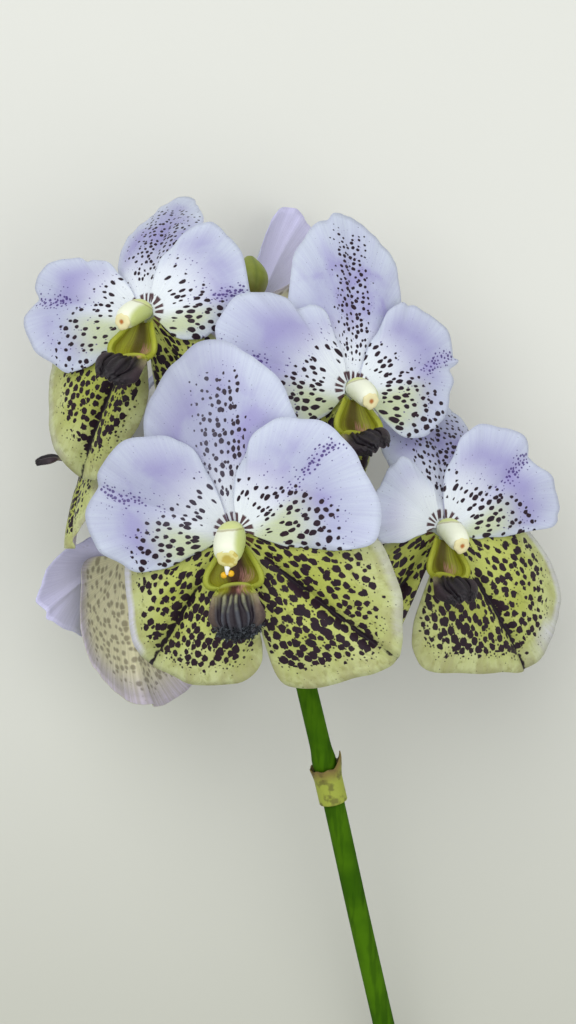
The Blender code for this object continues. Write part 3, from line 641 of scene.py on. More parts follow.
def organ_shape(bloom, organ):
    shape = dict(KINDS[organ])
    shape["heading"] = HEADINGS[organ]
    if organ.startswith("left"):
        shape["left"], shape["right"] = shape["right"], shape["left"]
        shape["eggs"] = shape["eggs"][::-1]
        shape["squares"] = shape["squares"][::-1]
        shape["phase"] = -shape["phase"]
    shape.update(bloom.get(organ, {}))
    if organ.endswith("lateral"):
        shape["midline"] = bloom["midline"]
        shape.setdefault("groove", 1.5)
    shape["level"] /= bloom["size"]
    return shape


for name, bloom in BLOOMS.items():
    bloom["frame"] = bloom_frame(bloom)
    bloom["place"] = find_place(name, bloom)
    print(name, "foot at", bloom["place"].round(2))

# %% [markdown]
# ## Where the spots are
# The spots of this orchid follow rules. Large dark spots crowd the base and,
# on the dorsal sepal, a band up its middle. A petal has them on its lower
# inner half and a streak of fine violet dots along its midrib near the tip.
# The lateral sepals are blotched nearly all over, most along their fold. The
# mesh carries how much of each there is, and the material draws the spots.
# Near the bloom's middle spots are drawn out along the veins, so the pattern's
# own coordinates are squeezed there.

# %% Coordinates for the spots
BASE_REACH = 13.0
DRAWN_OUT, DRAWN_OVER = 7.0, 10.0


def pattern_place(shape, x, y, number):
    """Squeezed across the veins and drawn out along them near the claw."""
    reach = np.hypot(x, y)
    near = np.exp(-(reach / BASE_REACH) ** 2)
    u = x * (1 - near) + reach * near - DRAWN_OUT * (1 - np.exp(-reach / DRAWN_OVER))
    v = y * np.sqrt(reach ** 2 + BASE_REACH ** 2) / np.maximum(reach, 0.1)
    grain = shape.get("grain", 1.0)
    u = u * (0.8 if shape["midline"] is not None else 0.92)
    return u * grain + 41.7 * number, v * grain + 17.3 * number, 37.0 * number


# %% Spot amounts for every point of an organ


def dorsal_spots(shape, x, y, along):
    band, length = shape.get("band", 7.0), shape["length"]
    wide = band * (0.7 + 0.3 * rise(x, 8, 20))
    inside = np.exp(-np.abs(y / wide) ** 4) * rise(x, 8.5, 4)
    top = 1.0 if shape.get("full_length") else 0.95
    large = inside * (0.95 - 0.25 * rise(x / length, 0.5, 0.4))
    large = large * (1 - rise(x, (top - 0.12) * length, 0.1 * length))
    small = 0.12 * np.exp(-np.abs(y / (wide + 4)) ** 4) * (1 - rise(along, 0.85, 0.1))
    return large, small


def petal_spots(shape, x, y, along, low):
    reach = np.hypot(x, y)
    angle = np.arctan2(low, x)
    end = 19 + 14 * rise(angle, -0.25, 0.8)
    large = rise(reach, 8.5, 3) * (1 - rise(reach, end - 4, 7))
    large = large * (0.55 + 0.4 * rise(angle, -0.7, 0.6))
    out = x / shape["length"]
    middle = y + 0.8 * np.sin(0.3 * x)
    streak = np.exp(-(middle / 2.4) ** 2) * rise(out, 0.52, 0.16)
    streak = streak * (1 - 0.6 * rise(out, 0.9, 0.08))
    thin = 0.3 * np.exp(-(middle / 4.0) ** 2) * rise(out, 0.3, 0.2)
    scatter = 0.16 * (1 - rise(reach, end, 9)) * rise(reach, 10, 8)
    small = np.maximum(np.maximum(streak, thin), scatter)
    return large, small * (1 - rise(along, 0.965, 0.03))


def lateral_spots(shape, x, y, along, low):
    reach = np.hypot(x, y)
    fold = np.exp(-(y / 2.2) ** 2) * rise(x, 12, 8)
    inner = rise(low, -2, 8)
    bare = shape.get("bare_tip", 0.07)
    large = 0.7 + 0.3 * inner * rise(reach, 12, 12) + 0.6 * fold
    large = large * rise(reach, 5, 3)
    large = large * (1 - rise(along, 0.91 - bare, 0.08))
    small = (0.25 + 0.2 * inner) * (1 - rise(along, 0.88, 0.08))
    return large, small


# %% Everything that the material reads
WHITE_FROM, WHITE_SPAN = 9, 21
BARS_AT, BARS_SPAN = 4.9, 1.5
FOLD_SPAN = 1.3
RIM_FROM, RIM_SPAN = 0.93, 0.035


def organ_values(organ, shape, x, y, along, turn, number):
    """Everything that the material reads from the front and the back grid."""
    low = y if organ.startswith("left") else -y
    reach = np.hypot(x, y)
    if organ == "dorsal":
        large, small = dorsal_spots(shape, x, y, along)
        green = 0.0
    elif organ.endswith("petal"):
        large, small = petal_spots(shape, x, y, along, low)
        green = rise(low, 1, 6) * (1 - rise(reach, 15, 16)) * shape.get("green", 1.0)
    else:
        large, small = lateral_spots(shape, x, y, along, low)
        green = 1 - 0.75 * rise(along, 0.9, 0.1)
    large, small = large * shape.get("large", 1.0), small * shape.get("small", 1.0)
    fold = 0.0
    if organ.endswith("lateral"):
        outer = turn * (shape["midline"] - shape["heading"]) < 0
        edge = rise(along, RIM_FROM, RIM_SPAN) * outer * rise(np.abs(turn), 0.2, 0.3)
        edge = edge * shape.get("pale_rim", 0.2)
        lilac = shape.get("lilac", 0.0) * np.exp(-((turn - 0.35) / 0.22) ** 2)
        edge = np.maximum(edge, 0.8 * lilac * rise(along, 0.84, 0.08))
        fold = np.exp(-(y / FOLD_SPAN) ** 2) * rise(x, 12, 10)
    else:
        edge = 0.8 * rise(along, 0.7, 0.3)
    white = 1 - rise(reach, WHITE_FROM, WHITE_SPAN)
    ring = np.exp(-((reach - BARS_AT) / BARS_SPAN) ** 2)
    # Painted shade: one side of the organ is greyed, as strong as the shape asks and towards its
    # given side.
    painted_shade_amount, painted_shade_side = shape.get("painted_shade", (0.0, 0.0))
    to = math.radians(painted_shade_side)
    aside = x / shape["length"] * math.cos(to) + y / 20 * math.sin(to)
    painted_shade = painted_shade_amount * smoothstep(0.5 + 1.2 * aside)
    rows = {"pattern": pattern_place(shape, x, y, number), "spots": (large, small, ring),
            "tone": (white, green, edge), "veins": (turn * 10, along, 1.0),
            "look": (shape.get("deep", 0.0), painted_shade, fold)}
    both = {}
    for key, grids in rows.items():
        front = np.stack(np.broadcast_arrays(x, *grids)[1:], axis=-1).reshape(-1, 3)
        both[key] = np.vstack((front, front))
    both["veins"][x.size:, 2] = 0.0
    return both


# %% [markdown]
# ## The petal's finish
# A petal is whitish at its base and lavender farther out, with clouds of
# deeper lilac, a pale margin and hair-fine veins. Spots come from Voronoi
# cells: each cell holds at most one spot whose size is chance times the amount
# that the mesh carries. A second, finer set gives the violet dots. A little
# noise bends the coordinates, so no spot is a perfect oval, and a ragged edge
# comes from a noise that is added to each spot's reach. Round the column the
# claws have short dark red bars, which are counted off by the vein's number.

# %% Cells that hold a spot each


def spot_layer(finish, where, cell, amount, fullest, softness, wobble, ragged=0.0):
    """A mask of spots, one to a cell, with the cell's size in millimetres."""
    rough = finish.node("ShaderNodeTexNoise", {"Vector": where, "Scale": 1.0 / cell,
                                               "Detail": 1.0})["Color"]
    bent = finish.vector("SUBTRACT", (0, rough), (1, (0.5, 0.5, 0.5)))
    bent = finish.vector("SCALE", (0, bent), (3, wobble * cell))
    bent = finish.vector("ADD", (0, bent), (1, where))
    cells = finish.node("ShaderNodeTexVoronoi", {"Vector": bent, "Scale": 1.0 / cell,
                                                 "Randomness": 0.8}, voronoi_dimensions="2D")
    chance = finish.split(cells["Color"])
    kept = finish.math("GREATER_THAN", finish.times(amount, 1.3), chance[1])
    size = finish.math("MULTIPLY_ADD", chance[0], 0.55, 0.58)
    full = finish.times(finish.math("POWER", amount, 0.45), fullest)
    gap = finish.math("SUBTRACT", finish.times(finish.times(full, size), kept), cells["Distance"])
    gap = finish.math("MULTIPLY_ADD", finish.noise(where, 2.1 / cell, 2.0), ragged, gap)
    return finish.ramp(gap, ragged / 2 - softness, ragged / 2 + softness)


def vein_lines(finish, fan, across, along):
    """Streaks that run along the veins."""
    return finish.noise(finish.vector("MULTIPLY", (0, fan), (1, (across, along, 0.0))), 1.0, 3.0)


# %% Petals and sepals
# How fast the bars round the column follow each other from vein to vein
BARS_TURN = 0.5


def petal_finish(name, ground, clouds, white, back, back_rim, lateral):
    """The material of petals and dorsal sepals, or of lateral sepals."""
    finish = Finish(name, Specular_IOR_Level=0.25, Sheen_Weight=0.05)
    where, _ = finish.value("pattern")
    _, (large, small, ring) = finish.value("spots")
    _, (base, green, edge) = finish.value("tone")
    fan, (turn, along, side) = finish.value("veins")
    _, (deep, painted_shade, fold) = finish.value("look")
    cloud = finish.ramp(finish.noise(where, 0.07, 3.0, 0.4), 0.36, 0.62)
    lines = vein_lines(finish, fan, 4.0, 1.6)
    veined = finish.ramp(lines, 0.36, 0.64)
    colour = finish.mix(cloud, ground, clouds)
    if lateral:
        colour = finish.mix(green, white, colour)
        pale = finish.ramp(finish.math("MULTIPLY_ADD", cloud, -0.12, along), 0.5, 1.0)
        colour = finish.tint(colour, pale, 0.75, shade(190, 196, 150))
        fleck = finish.ramp(finish.noise(where, 0.55, 5.0, 0.5), 0.52, 0.72)
        colour = finish.tint(colour, fleck, 0.5, shade(124, 126, 62))
        worn = finish.times(finish.ramp(along, 0.78, 0.98),
                            finish.ramp(finish.noise(where, 0.16, 4.0, 0.6), 0.42, 0.6))
        colour = finish.tint(colour, worn, 0.55, shade(140, 134, 86))
        colour = finish.mix(edge, colour, shade(200, 200, 210))
    else:
        colour = finish.tint(colour, deep, 0.5, clouds)
        colour = finish.mix(base, colour, white)
        colour = finish.tint(colour, green, 0.8, shade(180, 192, 134))
        colour = finish.mix(edge, colour, shade(198, 207, 220))
    colour = finish.tint(colour, veined, 0.16, clouds)
    dots = spot_layer(finish, where, 1.25, small, 0.4, 0.08, 0.3)
    if not lateral:
        colour = finish.tint(colour, finish.ramp(small, 0.35, 1.0), 0.28, shade(140, 126, 190))
    colour = finish.tint(colour, dots, 0.9, shade(34, 20, 26) if lateral else shade(62, 40, 110))
    cell, fullest, ragged = (2.45, 0.52, 0.44) if lateral else (2.5, 0.36, 0.24)
    marks = spot_layer(finish, where, cell, large, fullest, 0.05, 0.3, ragged)
    ink = finish.mix(finish.noise(where, 0.5, 2.0), shade(14, 4, 18), shade(40, 12, 30))
    front = finish.mix(marks, colour, ink)
    bars = finish.math("COSINE", finish.times(turn, BARS_TURN))
    bars = finish.math("MULTIPLY_ADD", finish.noise(where, 0.4, 2.0), 2.4, bars)
    bars = finish.times(finish.ramp(bars, 0.85, 1.35), finish.ramp(ring, 0.25, 0.6))
    front = finish.tint(front, bars, 0.95, shade(62, 16, 26))
    # Painted shade: the front is greyed towards one side of the organ.
    front = finish.mix(painted_shade, front, shade(110, 110, 132))
    # Along the fold the spots run together into a dark streak, and the same streak is painted
    # shadow in the crease.
    fold_blotch_and_crease_shade = finish.ramp(finish.times(fold, finish.noise(where, 0.25, 3.0)), 0.34, 0.46)
    front = finish.mix(fold_blotch_and_crease_shade, front, shade(22, 8, 20))
    blur = spot_layer(finish, where, cell, large, fullest * 0.78, 0.16, 0.3, ragged / 2)
    behind = finish.mix(finish.ramp(along, 0.72, 1.0), back, back_rim)
    behind = finish.tint(behind, blur, 0.62 if lateral else 0.2, shade(88, 74, 66))
    behind = finish.tint(behind, veined, 0.3 if lateral else 0.15,
                         shade(140, 134, 84) if lateral else clouds)
    colour = finish.mix(finish.ramp(side, 0.3, 0.7), behind, front)
    height = finish.math("MULTIPLY_ADD", lines, 0.8, finish.noise(where, 2.6, 4.0))
    finish.bump(height, 0.25, 0.0003)
    return finish.finish(colour, finish.math("MULTIPLY_ADD", marks, -0.1, 0.6))


petal_material = petal_finish(
    "spotted_lavender_petal", shade(170, 175, 200), shade(150, 147, 190),
    shade(220, 227, 231), shade(218, 216, 246), shade(212, 210, 242), False)
lateral_material = petal_finish(
    "spotted_green_sepal", shade(180, 188, 98), shade(160, 168, 76),
    shade(178, 182, 130), shade(226, 222, 186), shade(194, 186, 200), True)
print("petal finishes", petal_material.name, lateral_material.name)

# %% [markdown]
# ## Build the sepals and petals
# Front and back are two grids of points. They are 0.8 mm apart in the middle
# and come together towards the rim, as a real petal thins out there. Where a
# rear petal rests on the floor it is pressed flat by it.

# %% Sepals and petals
THICKNESS, THIN_RIM = 0.84, 0.7
CLAW_CROWD, TIP_CROWD = 1.25, 1.15
BOX_LOW, BOX_HIGH = (np.array(corner) / MM for corner in cad_box)
INSIDE = 0.03


def pressed(points):
    """Moves front and back together, so that a blade stays in the part's box."""
    pairs = points.reshape(2, -1, 3)
    lift = np.maximum(BOX_LOW + INSIDE - pairs.min(axis=0), 0)
    lower = np.minimum(BOX_HIGH - INSIDE - pairs.max(axis=0), 0)
    return (pairs + lift + lower).reshape(-1, 3)


def build_organ(name, bloom, organ, number):
    rows, columns = bloom["mesh"]
    along = np.linspace(0.0, 1.0, rows)[:, None] ** CLAW_CROWD
    turn = OUTLINE_END * signed_power(np.linspace(-1, 1, columns), TIP_CROWD)[None, :]
    along, turn = np.broadcast_arrays(along, turn)
    shape = organ_shape(bloom, organ)
    half_wall = THICKNESS / 2 / bloom["size"] * (1 - THIN_RIM * along ** 8)
    faces_out = organ_points(shape, along, turn, half_wall)
    faces_in = organ_points(shape, along, turn, -half_wall)
    points = to_world(np.vstack((faces_out.reshape(-1, 3), faces_in.reshape(-1, 3))), bloom)
    points = pressed(points)
    x, y = flat_shape(shape, along, turn)
    values = organ_values(organ, shape, x, y, along, turn, number)
    lateral = organ.endswith("lateral")
    node = name + "_" + NODE_NAMES[organ]
    piece = make_piece(node + "_fine", points, blade_faces(rows, columns),
                       lateral_material if lateral else petal_material, values)
    return dress(piece, "lateral_sepal" if lateral else "petal", node)


number = 0
for name, bloom in BLOOMS.items():
    for organ in NODE_NAMES:
        number += 1
        build_organ(name, bloom, organ, number)
print(number, "sepals and petals")

# %% [markdown]
# ## The lip
# The lip is one organ: a cup with a thick rim, a narrow neck, and a tongue
# with raised keels and two round wings, whose end is crinkled. It is a sheet
# that follows a middle line. Its keels are sharp ridges along the sheet.

# %% The lip's middle line and its swing
LIP_WALL = 0.8
LIP_LINE = (
    (-4.5, 0.3, 3.4, 1.2), (-8.4, 0.0, 6.4, 4.8), (-11.2, 0.4, 8.4, 6.6),
    (-13.6, 1.6, 8.4, 5.8), (-15.6, 3.6, 6.4, 2.2), (-16.8, 5.8, 4.5, 0.8),
    (-18.4, 7.9, 5.4, 0.0), (-20.6, 10.0, 7.9, -0.8), (-23.6, 11.8, 8.9, -1.8),
    (-26.6, 12.8, 7.4, -1.6), (-29.2, 13.2, 4.8, -1.0))
LIP_NECK, LIP_STARTS = 5, 0.6
CUP_LEAN, CUP_ROUNDS, CUP_ROUNDS_AT = 0.45, 0.16, 0.38
SILL_AT, SILL_SPAN, SILL_HEIGHT = 0.41, 0.035, 0.8
TONGUE_FROM, TONGUE_BLEND = 0.5, 0.22
LIP_RIDGE, LIP_RIDGES_FROM = 0.7, 0.65
SHOULDER, SHOULDER_AT, SHOULDER_SPAN = 0.42, 0.57, 0.075
TIP_TAPER, TIP_TAPER_FROM = 0.22, 0.7


def lip_line(bloom):
    """The lip's middle line: it starts at the column and its tongue hangs down."""
    line = np.array(LIP_LINE, dtype=float)
    line[0, 0] = -COLUMN_RADII[1] * bloom["slim"] - LIP_STARTS
    neck = line[LIP_NECK, :2].copy()
    angle = math.radians(bloom["hang"])
    turn = np.array(((math.cos(angle), math.sin(angle)), (-math.sin(angle), math.cos(angle))))
    line[LIP_NECK + 1:, :2] = (line[LIP_NECK + 1:, :2] - neck) @ turn + neck
    return line


def swung(points, axis, angles):
    """Points turned about an axis through zero, each by its own angle."""
    axis = unit(axis)
    cosine, sine = np.cos(angles)[..., None], np.sin(angles)[..., None]
    ahead = (points @ axis)[..., None] * axis
    return points * cosine + np.cross(axis, points) * sine + ahead * (1 - cosine)


def lip_grid(rows, columns, bloom):
    """Middle surface of the lip, with its place along and across."""
    line = smooth_route(lip_line(bloom), rows)
    ahead = tangents(line[:, :2])
    along = np.linspace(0, 1, rows)[:, None]
    share = np.linspace(-1, 1, columns)[None, :]
    swing = share * math.pi / 2
    free = rise(along, TONGUE_FROM, TONGUE_BLEND)
    width, turn, roll = bloom["tongue"]
    ridge = LIP_RIDGE * rise(along, LIP_RIDGES_FROM, 0.1) * np.cos(3 * np.pi * share)
    lift = line[:, 3:] * (1 - np.cos(swing)) + ridge
    shoulder = 1 + SHOULDER * np.exp(-((along - SHOULDER_AT) / SHOULDER_SPAN) ** 2)
    shoulder = shoulder - TIP_TAPER * rise(along, TIP_TAPER_FROM, 0.3)
    half = line[:, 2:3] * (bloom["cup"] + (width - bloom["cup"]) * free) * shoulder
    half = half * (1 - CUP_ROUNDS * np.exp(-((along - CUP_ROUNDS_AT) / 0.07) ** 2))
    lean = free - CUP_LEAN * (1 - free)
    grid = np.stack((half * np.sin(swing), line[:, :1] + lift * ahead[:, 1:] * lean,
                     line[:, 1:2] + lift * np.abs(ahead[:, :1])), axis=-1)
    neck, tip = ((0, y, z) for y, z in lip_line(bloom)[(LIP_NECK, -1), :2])
    along, share, free = np.broadcast_arrays(along, share, free)
    grid = swung(grid - neck, np.subtract(tip, neck), math.radians(roll) * free)
    return swung(grid, (0, 0, 1), math.radians(turn) * free) + neck, along, share


def turned(points, degrees):
    angle = math.radians(degrees)
    turn = np.array(((math.cos(angle), math.sin(angle), 0),
                     (-math.sin(angle), math.cos(angle), 0), (0, 0, 1)))
    return points @ turn


# %% Keels, rim and wall of the lip
# Each keel: where it is across the lip, its height and its width
KEELS = ((-0.55, 0.5, 0.07), (-0.3, 1.1, 0.075), (-0.1, 0.8, 0.05), (0.07, 0.9, 0.055),
         (0.27, 1.1, 0.07), (0.5, 0.5, 0.06))
FINE_LIP, PLAIN_LIP = (96, 73), (54, 37)
CRINKLE, CRINKLES_FROM = 0.25, 0.82
LIP_RIM_FROM, LIP_RIM_SPAN = 0.72, 0.18


def build_lip(name, bloom, finish):
    rows, columns = FINE_LIP if bloom["mesh"] is FRONT_MESH else PLAIN_LIP
    grid, along, share = lip_grid(rows, columns, bloom)
    normal = np.cross(np.gradient(grid, axis=0), np.gradient(grid, axis=1))
    normal /= np.linalg.norm(normal, axis=2)[..., None]
    tongue = rise(along, 0.5, 0.1)
    keel, ridge = 0.0, 0.0
    for at, high, wide in KEELS:
        middle = at - 0.03 * np.sin(11 * along + 7 * at)
        raise_here = np.exp(-((share - middle) / wide) ** 2)
        keel, ridge = keel + min(high, 1) * raise_here, ridge + high * raise_here
    crinkle = np.sin(80 * along + 9 * share) * np.sin(37 * share)
    raised = tongue * ridge * rise(1.0, along, 0.1)
    raised = raised + CRINKLE * rise(along, CRINKLES_FROM, 0.1) * crinkle
    sill = np.exp(-((along - SILL_AT) / SILL_SPAN) ** 2)
    raised = raised + SILL_HEIGHT * sill * (1 - share ** 2)
    rim = (1 - tongue) * rise(np.abs(share), LIP_RIM_FROM, LIP_RIM_SPAN)
    rim = np.maximum(rim, sill)
    wall = LIP_WALL / bloom["size"] / 2 * (1 + rim) * (1 - 0.6 * np.abs(share) ** 9 * tongue)
    out = grid + normal * (wall + raised)[..., None]
    inside = grid - normal * wall[..., None]
    points = np.vstack((out.reshape(-1, 3), inside.reshape(-1, 3)))
    points = pressed(to_world(turned(points, bloom["lip_turn"]), bloom))
    places = np.stack((along, share, np.ones_like(along)), axis=-1).reshape(-1, 3)
    keels = np.stack((np.minimum(keel, 1) * tongue, tongue, rim), axis=-1).reshape(-1, 3)
    values = {"lip": np.vstack((places, places * (1, 1, 0))), "keels": np.vstack((keels, keels))}
    piece = make_piece(name + "_lip_fine", points, blade_faces(rows, columns), finish, values)
    return dress(piece, "lip", name + "_lip")


# %% The lip's finish


def lip_finish(name, rim_colour, cup_colour, ear_colour, wing_inner, wing_outer, keel_colour,
               keel_end, furrow, tip):
    """The cup is coloured by how far out a point is, the tongue by its keels."""
    finish = Finish(name, Specular_IOR_Level=0.35)
    lip, (along, across, side) = finish.value("lip")
    _, (keel, tongue, rim) = finish.value("keels")
    where = finish.place()
    off = finish.math("ABSOLUTE", across)
    fibres = finish.vector("MULTIPLY", (0, lip), (1, (3.0, 16.0, 1.0)))
    streak = finish.ramp(finish.noise(fibres, 1.0, 3.0, 0.3), 0.42, 0.62)
    cup = finish.mix(finish.ramp(off, 0.1, 0.38), cup_colour, ear_colour)
    cup = finish.tint(cup, streak, 0.35, shade(92, 62, 30))
    pink = finish.times(finish.ramp(across, 0.0, 0.16), finish.ramp(along, 0.14, 0.26))
    pink = finish.times(pink, finish.ramp(finish.noise(fibres, 2.1, 2.0), 0.42, 0.56))
    pink = finish.times(pink, finish.ramp(off, 0.55, 0.35))
    cup = finish.tint(cup, pink, 0.7, shade(190, 136, 130))
    cup = finish.mix(finish.ramp(rim, 0.15, 0.7), cup, rim_colour)
    wing = finish.mix(finish.ramp(off, 0.46, 0.66), furrow, wing_inner)
    wing = finish.mix(finish.ramp(off, 0.66, 0.88), wing, wing_outer)
    olive = finish.times(finish.ramp(along, 0.72, 0.56), finish.ramp(off, 0.3, 0.6))
    wing = finish.tint(wing, olive, 0.7, shade(140, 134, 92))
    wing = finish.mix(finish.ramp(off, 0.955, 1.0), wing, shade(176, 164, 146))
    mottle = finish.noise(where, 1400.0, 4.0)
    fade = finish.math("MULTIPLY_ADD", finish.noise(where, 500.0, 4.0), 0.16, along)
    crest = finish.mix(finish.ramp(fade, 0.64, 0.84), keel_colour, keel_end)
    wing = finish.tint(wing, finish.ramp(fade, 0.72, 0.95), 0.6, furrow)
    blade = finish.mix(finish.ramp(keel, 0.25, 0.9), wing, crest)
    crumb = finish.mix(finish.ramp(mottle, 0.46, 0.62), tip, keel_end)
    blade = finish.mix(finish.ramp(fade, 0.9, 1.02), blade, crumb)
    front = finish.mix(tongue, cup, blade)
    back = finish.mix(tongue, rim_colour, wing_outer)
    colour = finish.mix(finish.ramp(side, 0.3, 0.7), back, front)
    patch = finish.times(finish.ramp(mottle, 0.5, 0.7), tongue)
    colour = finish.tint(colour, patch, 0.25, furrow)
    finish.bump(mottle, 0.3, 0.0004)
    return finish.finish(colour, 0.5)


pale_lip = lip_finish("olive_cup_grey_tongue_lip", shade(150, 158, 50), shade(66, 36, 24),
                      shade(132, 134, 22), shade(96, 80, 66), shade(98, 80, 80),
                      shade(140, 140, 104), shade(62, 64, 72), shade(26, 16, 26),
                      shade(22, 26, 32))
dark_lip = lip_finish("olive_cup_dark_tongue_lip", shade(156, 162, 46), shade(84, 80, 12),
                      shade(146, 150, 30), shade(58, 42, 48), shade(58, 42, 50),
                      shade(50, 38, 42), shade(36, 28, 34), shade(20, 12, 20),
                      shade(20, 16, 22))
print("lip finishes", pale_lip.name, dark_lip.name)

# %% Seven lips
for name, bloom in BLOOMS.items():
    bloom["lip_piece"] = build_lip(name, bloom, pale_lip if name == "front" else dark_lip)
print(len(BLOOMS), "lips")

# %% [markdown]
# ## The column and its cap
# In the middle stands the column, a fleshy knob that bends down over the lip.
# It is green at its foot and cream above. On its end sits the anther cap, a
# low round lid with a beak.

# %% The column's finish


def column_finish(name, cap_colour, cap_middle, seen, cells):
    """seen is how far the cap's middle colour reaches, cells is 1 for a clouded cap."""
    finish = Finish(name, Specular_IOR_Level=0.3)
    _, (cap, reach, _) = finish.value("cap")
    _, (aside, aloft, _) = finish.value("face")
    where = finish.place()
    cloud = finish.noise(where, 420.0, 3.0)
    uneven = finish.math("MULTIPLY_ADD", cloud, 0.9, aloft)
    flank = finish.math("MULTIPLY_ADD", aside, 0.3, finish.math("ABSOLUTE", aside))
    flank = finish.ramp(finish.math("MULTIPLY_ADD", cloud, 0.8, flank), 2.9, 5.3)
    body = finish.tint(shade(228, 232, 210), flank, 0.8, shade(176, 190, 84))
    body = finish.mix(finish.ramp(uneven, 2.0, 2.5), body, shade(206, 214, 140))
    crease = finish.times(finish.ramp(uneven, 1.45, 1.9), finish.ramp(uneven, 2.4, 1.95))
    body = finish.tint(body, crease, 0.6, shade(146, 132, 70))
    lid = finish.mix(finish.ramp(reach, seen, seen + 0.3), cap_middle, cap_colour)
    lid = finish.tint(lid, finish.ramp(cloud, 0.5, 0.6), cells, cap_middle)
    finish.bump(finish.noise(where, 1500.0, 3.0), 0.25, 0.0003)
    return finish.finish(finish.mix(cap, body, lid), 0.45)


cream_column = column_finish("cream_column", shade(214, 208, 138), shade(186, 168, 76), 0.3, 0.8)
amber_column = column_finish("cream_column_amber_cap", shade(222, 214, 164),
                             shade(172, 104, 44), 0.12, 0.0)
print("column finishes", cream_column.name, amber_column.name)

# %% Columns with their caps
COLUMN_MESH, COLUMN_SHARE = (36, 48), 0.985
CAP_MIDDLE, CAP_FACES = (0.0, -6.7, 11.9), (0.0, -0.45, 0.89)
CAP_RADIUS, CAP_HEIGHT = 3.3, 1.0
CAP_SUNK, CAP_SQUARE, CAP_RINGS = 0.55, 0.7, 20
DISH_DEPTH, DISH_SPAN = 0.35, 1.7
SCALLOPS, SCALLOP_DEPTH, BEAK, BEAK_SPAN = 7, 0.035, 0.12, 0.3


def build_column(name, bloom, finish):
    rings, sides = COLUMN_MESH
    points, radii = column_path(bloom, rings)
    tube = tube_rings(points, radii * COLUMN_SHARE, sides, flat_start=(0, 0, 1))
    body, faces = closed_rings(tube)
    angles = 2 * np.pi * np.arange(sides) / sides
    facing, across = unit(CAP_FACES), np.array((1.0, 0.0, 0.0))
    down = np.cross(facing, across)
    middle = np.array(CAP_MIDDLE) - facing * CAP_SUNK
    scallop = (1 + SCALLOP_DEPTH * np.cos(SCALLOPS * angles)
               + BEAK * np.exp(-((angles - 1.5 * np.pi) / BEAK_SPAN) ** 2))
    around = scallop[:, None] * (np.cos(angles)[:, None] * across
                                 + np.sin(angles)[:, None] * down)
    lid_rings, lid_reach = [], []
    for share in np.linspace(0.02, 0.98, CAP_RINGS):
        lean = math.pi * share
        reach = CAP_RADIUS * bloom["slim"] * math.sin(lean) ** CAP_SQUARE
        dish = DISH_DEPTH * math.exp(-(reach / DISH_SPAN) ** 2) * (share > 0.5)
        lid_rings.append(middle - facing * (CAP_HEIGHT * math.cos(lean) + dish) + reach * around)
        lid_reach += [reach / CAP_RADIUS / bloom["slim"]] * sides
    lid, lid_faces = closed_rings(np.array(lid_rings))
    vertices, faces = joined(((body, faces), (lid, lid_faces)))
    cap = np.zeros((len(vertices), 3))
    cap[len(body):, 0] = 1.0
    cap[len(body):-2, 1] = lid_reach
    face = vertices / bloom["slim"] * (1, 1, 0)
    piece = make_piece(name + "_column_fine", to_world(vertices, bloom), faces, finish,
                       {"cap": cap, "face": face})
    return dress(piece, "column", name + "_column")


for name, bloom in BLOOMS.items():
    build_column(name, bloom, cream_column if name == "front" else amber_column)
print(len(BLOOMS), "columns")

# %% [markdown]
# ## Two pollinia on their stalk
# From under the front bloom's cap hang two small yellow balls of pollen on a
# short white stalk. Each is a ball drawn as rings round a short line.

# %% Pollinia
POLLINIA, POLLEN_RADIUS = ((-1.7, -11.5, 11.0), (0.5, -11.2, 11.0)), 0.98
finish = Finish("yellow_pollinia", Specular_IOR_Level=0.4)
grain = finish.noise(finish.place(), 1600.0, 3.0)
finish.bump(grain, 0.3, 0.0002)
pollen_material = finish.finish(finish.mix(grain, shade(206, 150, 10), shade(236, 190, 30)), 0.4)
vertices, faces = joined([closed_rings(ball(place, POLLEN_RADIUS)) for place in POLLINIA])
dress(make_piece("front_pollinia", to_world(vertices, BLOOMS["front"]), faces, pollen_material),
      "column")
print(len(POLLINIA), "pollinia", len(faces), "faces")

# %% Their stalk
STIPE_ROUTE = ((-0.3, -9.2, 11.5), (-0.45, -10.2, 11.9), (-0.6, -11.3, 11.3))
STIPE_RADII, STIPE_MESH = (0.95, 0.6, 0.42), (12, 14)
finish = Finish("white_stipe", Specular_IOR_Level=0.4)
grain = finish.noise(finish.place(), 900.0, 2.0)
stipe_material = finish.finish(finish.mix(grain, shade(214, 216, 210), shade(234, 236, 232)), 0.4)
steps, sides = STIPE_MESH
tube = tube_rings(smooth_route(STIPE_ROUTE, steps), smooth_numbers(STIPE_RADII, steps), sides)
vertices, faces = closed_rings(tube)
dress(make_piece("front_stipe", to_world(vertices, BLOOMS["front"]), faces, stipe_material),
      "column")
print("stalk of the pollinia", len(faces), "faces")

# %% [markdown]
# ## Stem and flower stalks with Geometry Nodes
# The stem and the seven flower stalks follow a path and have a ribbed section.
# One Geometry Nodes tree makes them all: it turns a row of points into a
# curve, sweeps a ribbed ring along it at the radius that each point carries,
# closes the ends and sets the material.

# %% How every tree starts and ends


def new_tree(name, **inputs):
    """An empty tree with named inputs: its nodes, its sockets and its inputs' ends."""
    tree = bpy.data.node_groups.new(name, "GeometryNodeTree")
    sockets = {}
    for label, kind in dict(Geometry="Geometry", Material="Material", **inputs).items():
        made = tree.interface.new_socket(label, in_out="INPUT", socket_type="NodeSocket" + kind)
        sockets[label] = made.identifier
    tree.interface.new_socket("Geometry", in_out="OUTPUT", socket_type="NodeSocketGeometry")
    nodes = Nodes(tree)
    return nodes, sockets, nodes.node("NodeGroupInput")


def end_tree(nodes, geometry, material):
    """Every tree ends with real meshes that carry the material."""
    real = nodes.node("GeometryNodeRealizeInstances", {"Geometry": geometry})[0]
    paint = nodes.node("GeometryNodeSetMaterial", {"Geometry": real, "Material": material})[0]
    nodes.node("NodeGroupOutput", {0: paint})


# %% The stalk tree


